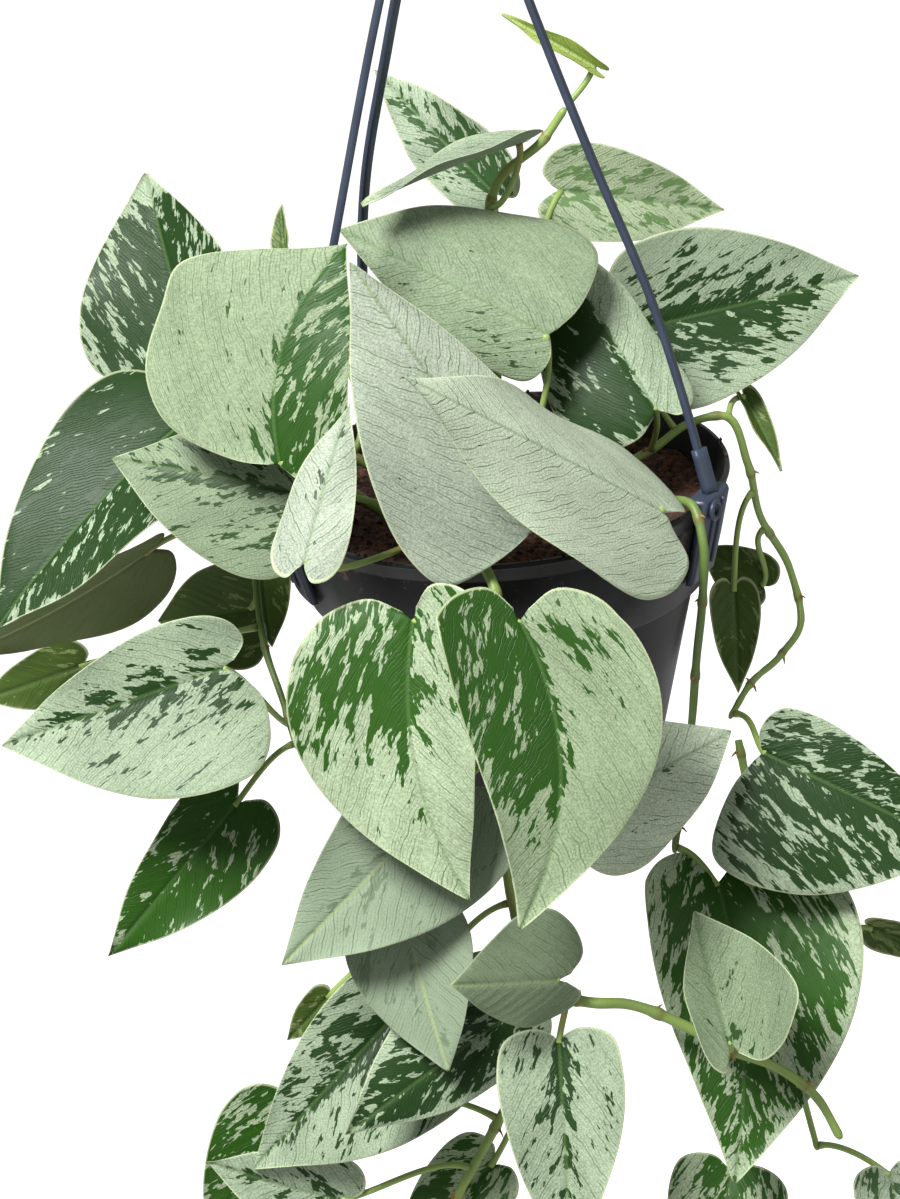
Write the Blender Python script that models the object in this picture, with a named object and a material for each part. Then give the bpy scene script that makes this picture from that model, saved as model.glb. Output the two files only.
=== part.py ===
"""Silver satin pothos in a hanging pot: leaves, vines, peat, pot and a three-arm hanger.

Metres in Blender, millimetres in the tables below. The scene's origin is the point where the
hanger's hook bears on whatever holds it up. Everything else hangs from an empty at the centre
of the pot's rim, and all the tables are measured from that rim centre: X right, Y away, Z up.
"""
import math

import bmesh
import bpy
import numpy as np
from mathutils import Vector

MM = 0.001

# Pot, in millimetres
RIM_BELOW_HOOK = 275.0
RIM_RADIUS = 76.0
COLLAR_HEIGHT = 35.0
COLLAR_FOOT_RADIUS = 68.0
COLLAR_STEP = 5.0
BODY_FOOT_RADIUS = 50.0
BASE_RADIUS = 38.0
POT_HEIGHT = 100.0
CORNER_HEIGHT = 7.0
WALL = 1.8
FLOOR = 2.0
POT_SIDES = 36
DRAIN_HOLES = 5
DRAIN_HOLE_RADIUS = 4.0
DRAIN_RING_RADIUS = 24.0

# Peat
PEAT_BELOW_RIM = 12.0
PEAT_BUMP = 1.2
FIT_GAP = 0.35
PEAT_RINGS = 5

# Hanger
HOOK_INNER_RADIUS = 12.0
HOOK_WIRE_RADIUS = 2.2
HUB_RADIUS = 7.0
HUB_HEIGHT = 8.0
HUB_TOP_BELOW_HOOK = 45.0
STRAP_WIDTH = 3.6
STRAP_THICKNESS = 2.2
CLIP_ANGLE = math.radians(6.5)
CLIP_DROP = 28.0
CLIP_THICKNESS = 3.4
CLIP_INSIDE = 4.0

# Leaves and vines
BLADE_THICKNESS = 0.9
BLADE_ROWS = 6
BLADE_COLUMNS = 4
STALK_RADIUS = 1.2
STALK_SIDES = 5
STALK_STEPS = 6
VINE_RADIUS = 2.1
VINE_SIDES = 6
VINE_STEP = 12.0
JOINT_GAP = 0.35

# Blade outline: share of the way from stalk to tip, half-width, lobe share, length share
OUTLINE = np.array([
    (0.00, 0.08, -0.40, 0.00),
    (0.07, 0.30, -1.00, 0.00),
    (0.16, 0.62, -0.85, 0.00),
    (0.27, 0.90, -0.20, 0.02),
    (0.40, 1.00, 0.00, 0.16),
    (0.58, 0.88, 0.00, 0.43),
    (0.75, 0.58, 0.00, 0.68),
    (0.90, 0.22, 0.00, 0.88),
    (1.00, 0.00, 0.00, 1.00),
])

# Each vine's route, from its root end, in millimetres from the rim centre
VINES = {
    "vine_top": [(4, 6, -24), (2, 8, -4), (1, 12, 20), (3, 18, 48), (2, 22, 76), (8, 24, 93),
                 (23, 26, 104), (31, 26, 114)],
    "vine_front": [(20, -2, -24), (14, -8, -6), (2, -16, -4), (-9, -32, -4), (-11, -54, 2),
                   (-9, -75, 4), (-5, -84, -3), (-4, -87, -15), (-6, -86, -38), (-8, -88, -66),
                   (-9, -93, -92), (-7, -102, -110), (0, -109, -126)],
    "vine_side": [(5, -114, -133), (15, -117, -134), (25, -116, -136), (42, -118, -144),
                  (56, -119, -154), (71, -118, -163), (83, -120, -174), (90, -124, -188)],
    "vine_low": [(-1, -108, -134), (-4, -103, -150), (-11, -101, -172), (-20, -103, -188),
                 (-29, -106, -202), (-38, -110, -216)],
    "vine_right": [(32, 2, -24), (40, 8, -6), (52, 14, -2), (66, 18, 5), (77, 18, 6),
                   (84, 19, -12), (88, 24, -34), (98, 28, -57), (100, 18, -73), (91, 2, -77),
                   (77, -22, -76), (69, -36, -80)],
    "vine_rim": [(36, -24, -24), (42, -32, -6), (52, -46, 4), (59, -57, 6), (61, -64, -4),
                 (60, -65, -20), (57, -63, -44), (54, -62, -70), (49, -64, -95), (46, -68, -111)],
    "vine_left": [(-30, 14, -24), (-42, 20, -4), (-60, 26, 6), (-74, 31, 6), (-84, 34, -8),
                  (-88, 34, -25), (-88, 25, -42), (-86, 8, -61), (-81, -6, -74), (-77, -18, -87)],
    "vine_left_low": [(-28, -8, -24), (-42, -9, -5), (-58, -10, 5), (-73, -10, 6), (-85, -8, -2),
                      (-90, -5, -14)],
    "vine_far": [(71, -41, -86), (73, -48, -104), (74, -60, -134), (76, -74, -166),
                 (82, -86, -194), (86, -94, -214)],
}

# Each leaf: the vine it grows on and how far along, where the stalk meets the blade and where
# the tip is, its width, which way its upper face looks (turn to the right of the viewer, tilt up),
# then how each half folds and curls and how far the midrib bends, all in degrees
LEAVES = [
    dict(name="leaf_top_rolled", vine="vine_top", joint=1.00,
         base=(42, 27, 126), tip=(13, 27, 146), width=9, face=(0, 22),
         left=(35, 30), right=(35, 30), bend=10),
    dict(name="leaf_top_back", vine="vine_top", joint=0.61,
         base=(6, 42, 83), tip=(-31, 73, 121), width=29, face=(-5, 20),
         left=(12, 25), right=(12, 25), bend=10),
    dict(name="leaf_top_level", vine="vine_top", joint=0.73,
         base=(16, 17, 107), tip=(-37, 2, 95), width=30, face=(180, 80),
         left=(5, 20), right=(5, 20), bend=10),
    dict(name="leaf_crown_silver", vine="vine_front", joint=0.12,
         base=(19, -16, 52), tip=(-46, 15, 84), width=58, face=(8, 35),
         left=(-14, -30), right=(8, -30), bend=10, asym=-0.33, lobe=0.05),
    dict(name="leaf_crown_right", vine="vine_right", joint=0.16,
         base=(52, -14, 23), tip=(20, 31, 76), width=46, face=(0, 25),
         left=(8, -30), right=(-10, -40), bend=12, asym=0.28, lobe=0.07),
    dict(name="leaf_back_right", vine="vine_right", joint=0.21,
         base=(51, 39, 32), tip=(128, 49, 41), width=62, face=(15, 20),
         left=(8, 10), right=(8, 10), bend=12),
    dict(name="leaf_back_pale", vine="vine_right", joint=0.11,
         base=(29, 98, 66), tip=(88, 99, 53), width=36, face=(0, 20),
         left=(10, 10), right=(10, 10), bend=10),
    dict(name="leaf_back_left", vine="vine_left_low", joint=0.55,
         base=(-100, 30, 43), tip=(-111, 60, 96), width=62, face=(-20, 15),
         left=(10, 10), right=(10, 10), bend=10, asym=0.15),
    dict(name="leaf_back_bud", vine="vine_left", joint=0.19,
         base=(-67, 54, 66), tip=(-67, 63, 80), width=9, face=(-40, 20),
         left=(20, 10), right=(20, 10), bend=5),
    dict(name="leaf_folded", vine="vine_front", joint=0.26,
         base=(-68, -54, 31), tip=(-41, -28, 92), width=60, face=(-10, 15),
         left=(-5, -5), right=(8, 0), bend=8, sway=-0.14, asym=0.25, full=0.5, lobe=0.04),
    dict(name="leaf_drape_left", vine="vine_front", joint=0.27,
         base=(9, -84, 15), tip=(-39, -66, 98), width=56, face=(-6, 25),
         left=(-3, -8), right=(-3, -12), bend=12, asym=0.3, lobe=0.02),
    dict(name="leaf_drape_right", vine="vine_rim", joint=0.21,
         base=(49, -73, 12), tip=(-25, -111, 77), width=60, face=(0, 35),
         left=(4, -8), right=(-36, -20), bend=8, asym=0.05, lobe=0.14),
    dict(name="leaf_left_grey", vine="vine_left_low", joint=0.40,
         base=(-64, -41, 16), tip=(-124, -26, 27), width=50, face=(-10, 35),
         left=(-4, -10), right=(-4, -10), bend=12, asym=0.2),
    dict(name="leaf_narrow", vine="vine_front", joint=0.32,
         base=(-61, -95, 15), tip=(-44, -59, 51), width=24, face=(-20, 0),
         left=(-4, -10), right=(-4, -10), bend=10),
    dict(name="leaf_left_large", vine="vine_left_low", joint=0.61,
         base=(-105, 7, 24), tip=(-170, -29, -29), width=62, face=(-30, 35),
         left=(10, 10), right=(10, 10), bend=25),
    dict(name="leaf_left_under", vine="vine_left_low", joint=0.97,
         base=(-122, 12, -23), tip=(-186, -8, -46), width=48, face=(-10, -40),
         left=(10, 10), right=(10, 10), bend=15),
    dict(name="leaf_left_far", vine="vine_left", joint=0.74,
         base=(-151, 15, -65), tip=(-188, 13, -74), width=24, face=(0, 10),
         left=(5, 10), right=(5, 10), bend=10),
    dict(name="leaf_left_olive", vine="vine_left", joint=0.57,
         base=(-92, 42, -61), tip=(-127, 45, -64), width=42, face=(0, 10),
         left=(10, 10), right=(10, 10), bend=10),
    dict(name="leaf_left_olive_small", vine="vine_left", joint=0.48,
         base=(-89, 63, -53), tip=(-88, 53, -82), width=20, face=(10, 0),
         left=(10, 10), right=(10, 10), bend=10),
    dict(name="leaf_left_silver", vine="vine_left", joint=0.95,
         base=(-96, -29, -49), tip=(-172, -41, -65), width=60, face=(-5, 25),
         left=(8, 10), right=(8, 10), bend=18, asym=0.32),
    dict(name="leaf_left_low", vine="vine_left", joint=0.99,
         base=(-99, -26, -102), tip=(-147, -48, -145), width=38, face=(0, 10),
         left=(8, 10), right=(8, 10), bend=10, asym=0.12),
    dict(name="leaf_front_left", vine="vine_front", joint=0.47,
         base=(-30, -97, -6), tip=(-20, -133, -84), width=62, face=(-8, 15),
         left=(8, 5), right=(8, 5), bend=12, sway=0.09, asym=-0.2),
    dict(name="leaf_front_right", vine="vine_front", joint=0.51,
         base=(2, -108, -4), tip=(-6, -147, -87), width=63, face=(8, 15),
         left=(8, 5), right=(8, 5), bend=14, sway=-0.13, asym=0.05),
    dict(name="leaf_front_under", vine="vine_front", joint=0.70,
         base=(-22, -99, -63), tip=(-80, -125, -106), width=52, face=(-8, 15),
         left=(8, 5), right=(8, 5), bend=14, asym=0.15),
    dict(name="leaf_low_under", vine="vine_front", joint=0.82,
         base=(-42, -106, -103), tip=(-32, -132, -145), width=42, face=(-10, 10),
         left=(8, 5), right=(8, 5), bend=14),
    dict(name="leaf_right_drape", vine="vine_front", joint=0.75,
         base=(15, -96, -78), tip=(66, -76, -64), width=52, face=(5, 40),
         left=(-5, -25), right=(-5, -45), bend=14),
    dict(name="leaf_low_grey", vine="vine_front", joint=0.99,
         base=(5, -126, -119), tip=(-28, -144, -106), width=38, face=(-10, 20),
         left=(-5, -15), right=(-5, -15), bend=14, asym=-0.2, lobe=0.25),
    dict(name="leaf_low_hanging", vine="vine_side", joint=0.02,
         base=(3, -124, -142), tip=(1, -157, -202), width=41, face=(0, 12),
         left=(12, 5), right=(12, 5), bend=14, lobe=0.05),
    dict(name="leaf_low_cupped", vine="vine_low", joint=0.11,
         base=(-8, -110, -138), tip=(-66, -137, -162), width=42, face=(-15, 30),
         left=(-20, -20), right=(20, -20), bend=14, asym=-0.15),
    dict(name="leaf_low_left", vine="vine_front", joint=0.90,
         base=(-44, -91, -144), tip=(-99, -115, -188), width=56, face=(-10, 25),
         left=(8, 5), right=(8, 5), bend=14, asym=0.3),
    dict(name="leaf_low_green", vine="vine_low", joint=0.60,
         base=(-89, -86, -187), tip=(-120, -100, -226), width=38, face=(0, 20),
         left=(8, 5), right=(8, 5), bend=14),
    dict(name="leaf_low_silver", vine="vine_low", joint=0.81,
         base=(-71, -113, -205), tip=(-114, -112, -186), width=30, face=(0, 20),
         left=(8, 5), right=(8, 5), bend=14),
    dict(name="leaf_far_right", vine="vine_right", joint=0.99,
         base=(77, -60, -81), tip=(138, -82, -111), width=60, face=(10, 25),
         left=(8, 5), right=(8, 5), bend=14, asym=-0.4, lobe=0.05),
    dict(name="leaf_right_heart", vine="vine_rim", joint=0.99,
         base=(59, -74, -120), tip=(55, -130, -198), width=70, face=(5, 15),
         left=(8, 5), right=(8, 5), bend=18, sway=-0.05, asym=0.2),
    dict(name="leaf_right_young", vine="vine_side", joint=0.53,
         base=(56, -130, -145), tip=(49, -105, -111), width=45, face=(5, 15),
         left=(28, 20), right=(28, 20), bend=-18, asym=-0.4, lobe=0.2),
    dict(name="leaf_right_edge", vine="vine_far", joint=0.48,
         base=(111, -52, -156), tip=(137, -48, -172), width=14, face=(0, 20),
         left=(20, 20), right=(20, 20), bend=10),
    dict(name="leaf_right_low", vine="vine_far", joint=0.69,
         base=(56, -107, -211), tip=(42, -130, -243), width=40, face=(0, 30),
         left=(8, 5), right=(8, 5), bend=16),
    dict(name="leaf_right_lowest", vine="vine_far", joint=0.99,
         base=(108, -104, -218), tip=(112, -122, -242), width=27, face=(0, 30),
         left=(8, 5), right=(8, 5), bend=18),
    dict(name="leaf_behind_right", vine="vine_right", joint=0.52,
         base=(89, 30, -64), tip=(68, 38, -50), width=22, face=(0, 10),
         left=(8, 5), right=(8, 5), bend=10),
    dict(name="leaf_behind_hanging", vine="vine_right", joint=0.44,
         base=(77, 16, -57), tip=(76, 6, -93), width=18, face=(0, 10),
         left=(8, 5), right=(8, 5), bend=10),
    dict(name="leaf_spear_right", vine="vine_right", joint=0.30,
         base=(85, 35, 7), tip=(96, 21, -17), width=10, face=(30, 10),
         left=(20, 20), right=(20, 20), bend=10),
    dict(name="leaf_crown_bud", vine="vine_top", joint=0.15,
         base=(-3, 6, 26), tip=(-13, 7, 39), width=12, face=(0, 10),
         left=(20, 20), right=(20, 20), bend=10),
    dict(name="leaf_low_back", vine="vine_low", joint=0.50,
         base=(-22, -97, -207), tip=(-56, -107, -227), width=30, face=(-10, 30),
         left=(8, 5), right=(8, 5), bend=10),
    dict(name="leaf_low_bud", vine="vine_front", joint=0.86,
         base=(-71, -74, -151), tip=(-87, -76, -166), width=14, face=(0, 10),
         left=(8, 5), right=(8, 5), bend=10),
]

# Each strap of the hanger: the clip's bearing round the rim and the route from hub to clip
ARMS = {
    "hanger_arm_right": (330, [(4, -2, 221), (12, -5, 190), (21, -7, 157), (26, -10, 141),
                               (37, -16, 107), (52, -24, 63), (60, -31, 31), (66, -38, 1.6)]),
    "hanger_arm_left": (200, [(-4, -1, 221), (-25, -7, 159), (-49, -19, 78), (-72, -26, 1.6)]),
    "hanger_arm_back": (120, [(-1, 4, 221), (-24, 28, 140), (-37, 46, 88), (-41, 56, 58),
                              (-42, 64, 25), (-39, 67.5, 1.8)]),
}

# Colour, roughness and metallic value of each material
FINISHES = {
    "pot_black": ((0.012, 0.012, 0.014), 0.35, 0.0),
    "hanger_slate": ((0.045, 0.055, 0.085), 0.45, 0.0),
    "peat": ((0.055, 0.025, 0.014), 0.95, 0.0),
    "vine_green": ((0.20, 0.30, 0.07), 0.5, 0.0),
    "leaf_silver": ((0.40, 0.50, 0.36), 0.55, 0.0),
    "leaf_green": ((0.07, 0.15, 0.035), 0.5, 0.0),
}
GREEN_LEAVES = {"leaf_left_olive", "leaf_left_olive_small", "leaf_left_far", "leaf_spear_right",
                "leaf_behind_right", "leaf_behind_hanging", "leaf_crown_bud", "leaf_right_edge",
                "leaf_low_bud", "leaf_back_bud", "leaf_left_low", "leaf_right_low"}


def clear_scene():
    """Remove the objects that a new Blender scene starts with."""
    for obj in list(bpy.data.objects):
        bpy.data.objects.remove(obj, do_unlink=True)


def finish_material(name):
    """Return the Principled material called name, made on its first use."""
    found = bpy.data.materials.get(name)
    if found:
        return found
    colour, roughness, metallic = FINISHES[name]
    material = bpy.data.materials.new(name)
    material.use_nodes = True
    shader = material.node_tree.nodes["Principled BSDF"]
    shader.inputs["Base Color"].default_value = (*colour, 1.0)
    shader.inputs["Roughness"].default_value = roughness
    shader.inputs["Metallic"].default_value = metallic
    return material


def new_object(name, vertices, faces, material, parent, location=(0, 0, 0)):
    """Make an object from vertices in millimetres, placed under parent at location."""
    mesh = bpy.data.meshes.new(name)
    points = [tuple(float(c) * MM for c in v) for v in vertices]
    mesh.from_pydata(points, [], [tuple(int(i) for i in f) for f in faces])
    mesh.validate()
    builder = bmesh.new()
    builder.from_mesh(mesh)
    bmesh.ops.recalc_face_normals(builder, faces=builder.faces)
    if builder.calc_volume(signed=True) < 0:
        bmesh.ops.reverse_faces(builder, faces=builder.faces)
    builder.to_mesh(mesh)
    builder.free()
    mesh.shade_smooth()
    mesh.set_sharp_from_angle(angle=math.radians(35))
    mesh.materials.append(finish_material(material))
    obj = bpy.data.objects.new(name, mesh)
    bpy.context.scene.collection.objects.link(obj)
    obj.parent = parent
    obj.location = [c * MM for c in location]
    return obj


def cut(obj, tool, operation="DIFFERENCE"):
    """Subtract tool from obj, or join it on, with the exact solver; tool is hidden."""
    tool.hide_render = True
    tool.display_type = "WIRE"
    modifier = obj.modifiers.new(operation.lower(), "BOOLEAN")
    modifier.solver = "EXACT"
    modifier.operation = operation
    modifier.object = tool


def smooth_curve(x, known_x, known_y):
    """Cubic curve through the known points, with slopes taken from their neighbours."""
    x = np.asarray(x, float)
    slopes = np.gradient(known_y, known_x)
    i = np.clip(np.searchsorted(known_x, x, side="right") - 1, 0, len(known_x) - 2)
    step = known_x[i + 1] - known_x[i]
    q = (x - known_x[i]) / step
    return ((2 * q**3 - 3 * q**2 + 1) * known_y[i]
            + (q**3 - 2 * q**2 + q) * step * slopes[i]
            + (3 * q**2 - 2 * q**3) * known_y[i + 1]
            + (q**3 - q**2) * step * slopes[i + 1])


def route_points(route, shares):
    """Points at the given shares of the smooth line through a route."""
    route = np.array(route, float)
    lengths = np.linalg.norm(np.diff(route, axis=0), axis=1)
    known = np.concatenate([[0.0], np.cumsum(lengths)]) / lengths.sum()
    return np.stack([smooth_curve(shares, known, route[:, k]) for k in range(3)], axis=-1)


def sweep(path, section):
    """Vertices and faces of a closed tube: section(i) gives ring i as offsets (side, up)."""
    path = np.asarray(path, float)
    tangents = np.gradient(path, axis=0)
    tangents /= np.linalg.norm(tangents, axis=1)[:, None]
    side = np.cross(tangents[0], (0, 0, 1))
    if np.linalg.norm(side) < 0.2:
        side = np.cross(tangents[0], (0, 1, 0))
    vertices = []
    for i, (point, tangent) in enumerate(zip(path, tangents)):
        side = side - tangent * side.dot(tangent)
        side /= np.linalg.norm(side)
        up = np.cross(side, tangent)
        ring = section(i)
        vertices += [point + side * a + up * b for a, b in ring]
    count = len(ring)
    faces = [tuple(range(count))[::-1]]
    for i in range(len(path) - 1):
        for k in range(count):
            n = (k + 1) % count
            faces.append((i * count + k, i * count + n, (i + 1) * count + n, (i + 1) * count + k))
    last = (len(path) - 1) * count
    faces.append(tuple(last + k for k in range(count)))
    return vertices, faces


def round_section(radius_of, sides):
    """A round section for sweep, whose radius at ring i is radius_of(i)."""
    angles = [2 * math.pi * k / sides for k in range(sides)]
    return lambda i: [(radius_of(i) * math.cos(a), radius_of(i) * math.sin(a)) for a in angles]


def turned(profile, sides):
    """Vertices and faces of a closed solid turned about Z from (radius, z) points."""
    vertices = []
    rings = []
    for radius, z in profile:
        if radius < 1e-6:
            rings.append([len(vertices)] * sides)
            vertices.append((0, 0, z))
            continue
        rings.append([len(vertices) + k for k in range(sides)])
        for k in range(sides):
            angle = 2 * math.pi * k / sides
            vertices.append((radius * math.cos(angle), radius * math.sin(angle), z))
    faces = []
    for low, high in zip(rings, rings[1:]):
        for k in range(sides):
            n = (k + 1) % sides
            corners = [low[k], low[n], high[n], high[k]]
            face = [c for j, c in enumerate(corners) if c not in corners[:j]]
            if len(face) > 2:
                faces.append(face)
    return vertices, faces


def collar_radius(z):
    """Outer radius of the pot's collar at height z below the rim."""
    return RIM_RADIUS + (RIM_RADIUS - COLLAR_FOOT_RADIUS) * z / COLLAR_HEIGHT


def make_pot(parent):
    """The pot: a tapered cup with a deep collar, a stepped-in body and a drained floor."""
    body_top = COLLAR_FOOT_RADIUS - COLLAR_STEP
    corner = [(BASE_RADIUS + (BODY_FOOT_RADIUS - BASE_RADIUS) * math.sin(a),
               -POT_HEIGHT + CORNER_HEIGHT * (1 - math.cos(a)))
              for a in (math.radians(d) for d in (0, 35, 65, 90))]
    outside = corner + [
        (body_top, -COLLAR_HEIGHT - 2.0),
        (body_top, -COLLAR_HEIGHT),
        (COLLAR_FOOT_RADIUS, -COLLAR_HEIGHT),
        (RIM_RADIUS - 0.6, -2.0),
        (RIM_RADIUS, -1.2),
        (RIM_RADIUS - 0.4, 0.0),
    ]
    inside = [
        (RIM_RADIUS - WALL + 0.2, 0.0),
        (RIM_RADIUS - WALL - 0.2, -1.2),
        (COLLAR_FOOT_RADIUS - WALL, -COLLAR_HEIGHT + WALL),
        (body_top - WALL, -COLLAR_HEIGHT + WALL),
        (BODY_FOOT_RADIUS - WALL, -POT_HEIGHT + CORNER_HEIGHT + FLOOR),
        (BASE_RADIUS, -POT_HEIGHT + FLOOR),
    ]
    profile = [(0, -POT_HEIGHT)] + outside + inside + [(0, -POT_HEIGHT + FLOOR)]
    pot = new_object("pot", *turned(profile, POT_SIDES), "pot_black", parent)
    hole_vertices = []
    hole_faces = []
    for k in range(DRAIN_HOLES):
        bearing = 2 * math.pi * k / DRAIN_HOLES
        centre = (DRAIN_RING_RADIUS * math.cos(bearing), DRAIN_RING_RADIUS * math.sin(bearing))
        rod, rod_faces = turned([(0, -POT_HEIGHT - 2), (DRAIN_HOLE_RADIUS, -POT_HEIGHT - 2),
                                 (DRAIN_HOLE_RADIUS, -POT_HEIGHT + 4), (0, -POT_HEIGHT + 4)], 12)
        start = len(hole_vertices)
        hole_vertices += [(x + centre[0], y + centre[1], z) for x, y, z in rod]
        hole_faces += [[start + i for i in face] for face in rod_faces]
    cut(pot, new_object("pot_drains", hole_vertices, hole_faces, "pot_black", parent))
    return pot


def make_peat(parent):
    """The peat: fills the pot to just under the rim, with a gently uneven top."""
    body_top = COLLAR_FOOT_RADIUS - COLLAR_STEP
    surface_radius = collar_radius(-PEAT_BELOW_RIM) - WALL - 2 * FIT_GAP
    profile = [
        (0, -POT_HEIGHT + FLOOR + FIT_GAP),
        (BASE_RADIUS - FIT_GAP, -POT_HEIGHT + FLOOR + FIT_GAP),
        (BODY_FOOT_RADIUS - WALL - 2 * FIT_GAP, -POT_HEIGHT + CORNER_HEIGHT + FLOOR + FIT_GAP),
        (body_top - WALL - 2 * FIT_GAP, -COLLAR_HEIGHT + WALL + FIT_GAP),
        (COLLAR_FOOT_RADIUS - WALL - 2 * FIT_GAP, -COLLAR_HEIGHT + WALL + FIT_GAP),
    ]
    top = [(surface_radius * (PEAT_RINGS - k) / PEAT_RINGS, -PEAT_BELOW_RIM)
           for k in range(PEAT_RINGS + 1)]
    vertices, faces = turned(profile + top, POT_SIDES)
    uneven = []
    for x, y, z in vertices:
        if z > -PEAT_BELOW_RIM - 0.5:
            z += PEAT_BUMP * math.sin(0.13 * x + 1.0) * math.cos(0.11 * y - 0.4)
        uneven.append((x, y, z))
    return new_object("peat", uneven, faces, "peat", parent)


def make_vines(parent, peat):
    """Each vine as a round tube along its route; the rooted ones sit in a socket in the peat."""
    for name, route in VINES.items():
        length = np.linalg.norm(np.diff(np.array(route, float), axis=0), axis=1).sum()
        shares = np.linspace(0, 1, max(4, round(length / VINE_STEP)) + 1)
        path = route_points(route, shares)
        last = len(path) - 1

        def taper(i, last=last):
            return VINE_RADIUS * (1.0 if i < last else 0.75)

        tube = sweep(path, round_section(taper, VINE_SIDES))
        new_object(name, *tube, "vine_green", parent)
        if route[0][2] > -20:
            continue
        below = path[0] + (path[0] - path[1]) * 0.04
        socket_path = [below, *path[1:4]]
        socket = sweep(socket_path, round_section(lambda i: VINE_RADIUS + 2 * FIT_GAP, VINE_SIDES))
        cut(peat, new_object(name + "_socket", *socket, "peat", parent))


def unit(vector):
    """The vector at length one."""
    return vector / np.linalg.norm(vector)


def facing(turn, tilt):
    """Direction turned right of the viewer and tilted up by the given degrees."""
    a, e = math.radians(turn), math.radians(tilt)
    return np.array([math.sin(a) * math.cos(e), -math.cos(a) * math.cos(e), math.sin(e)])


def blade_surface(leaf, s, t):
    """Blade points in millimetres: s runs from stalk to tip, t from the left edge to the right.

    The outline gives each row's half-width and how far its ends sweep back; the halves fold and
    curl about the midrib, and the midrib bends away from the upper face towards the tip.
    """
    base, tip = np.array(leaf["base"], float), np.array(leaf["tip"], float)
    s, t = np.meshgrid(s, t, indexing="ij")
    along = np.linspace(-0.4, 1.0, 281)
    tilt = math.radians(leaf["bend"]) * along
    step = along[1] - along[0]
    rise = np.concatenate([[0], np.cumsum((np.cos(tilt[1:]) + np.cos(tilt[:-1])) / 2 * step)])
    drop = -np.concatenate([[0], np.cumsum((np.sin(tilt[1:]) + np.sin(tilt[:-1])) / 2 * step)])
    start = int(np.argmin(np.abs(along)))
    rise -= rise[start]
    drop -= drop[start]
    length = np.linalg.norm(tip - base) / math.hypot(rise[-1], drop[-1])

    half = leaf["width"] / 2
    edge_x = smooth_curve(s, OUTLINE[:, 0], OUTLINE[:, 1])
    edge_x = edge_x + leaf.get("full", 0) * np.sin(np.pi * s) * s
    sweep_back = OUTLINE[:, 2] * leaf.get("lobe", 0.10) + OUTLINE[:, 3]
    edge_y = smooth_curve(s, OUTLINE[:, 0], sweep_back)
    root = s**1.15
    out = np.abs(t)
    y = root + (edge_y - root) * out**1.25
    uneven = leaf.get("asym", 0)
    x = out * edge_x * half * np.where(t < 0, 1 + uneven, 1 - uneven)

    fold = np.where(t < 0, leaf["left"][0], leaf["right"][0])
    curl = np.where(t < 0, leaf["left"][1], leaf["right"][1])
    fold = np.radians(fold) * np.clip(1.25 - 0.5 * np.clip(y, 0, 1), 0, 1.25)
    curl = np.where(curl == 0, 0.01, np.radians(curl))
    arc = x / half * curl
    across = half / curl * (np.sin(fold + arc) - np.sin(fold))
    lift = half / curl * (np.cos(fold) - np.cos(fold + arc))
    inner = np.clip(y, 0, 1)
    across = np.sign(t) * across + leaf.get("sway", 0) * length * 4 * inner * (1 - inner)

    angle = np.interp(y, along, tilt)
    forward = np.interp(y, along, rise) * length + np.sin(angle) * lift
    lifted = np.interp(y, along, drop) * length + np.cos(angle) * lift
    chord = math.atan2(drop[-1], rise[-1])
    forward, lifted = (forward * math.cos(chord) + lifted * math.sin(chord),
                       lifted * math.cos(chord) - forward * math.sin(chord))
    axis = unit(tip - base)
    face = facing(*leaf["face"])
    normal = unit(face - face.dot(axis) * axis)
    right = np.cross(axis, normal)
    points = (base + across[..., None] * right + forward[..., None] * axis
              + lifted[..., None] * normal)
    return points, axis, normal


def blade_solid(leaf):
    """Vertices and faces of the blade as a thin closed solid, and its axis and normal."""
    s = np.linspace(0, 1, BLADE_ROWS + 1)
    t = np.linspace(-1, 1, BLADE_COLUMNS + 1)
    points, axis, normal = blade_surface(leaf, s, t)
    du = np.gradient(points, axis=0)
    dv = np.gradient(points, axis=1)
    normals = np.cross(dv, du)
    normals /= np.maximum(np.linalg.norm(normals, axis=2), 1e-6)[..., None]
    normals[-1] = normals[-2, BLADE_COLUMNS // 2]
    rows = points.shape[0] - 1
    columns = BLADE_COLUMNS + 1
    upper = points[:-1].reshape(-1, 3)
    lower = (points - normals * BLADE_THICKNESS)[:-1].reshape(-1, 3)
    vertices = [*upper, *lower, points[-1, 0] - normals[-1, 0] * BLADE_THICKNESS / 2]
    tip = len(vertices) - 1
    shift = len(upper)
    faces = []
    for i in range(rows - 1):
        for k in range(BLADE_COLUMNS):
            a, b = i * columns + k, (i + 1) * columns + k
            faces.append((a, a + 1, b + 1, b))
            faces.append((a + shift, b + shift, b + 1 + shift, a + 1 + shift))
    last = (rows - 1) * columns
    for k in range(BLADE_COLUMNS):
        faces.append((last + k, last + k + 1, tip))
        faces.append((last + k + 1 + shift, last + k + shift, tip))
        faces.append((k + 1, k, k + shift, k + 1 + shift))
    for i in range(rows - 1):
        a, b = i * columns, (i + 1) * columns
        faces.append((a, b, b + shift, a + shift))
        a, b = a + columns - 1, b + columns - 1
        faces.append((b, a, a + shift, b + shift))
    faces.append((last, tip, last + shift))
    faces.append((tip, last + columns - 1, last + columns - 1 + shift))
    return vertices, faces, axis, normal


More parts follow.
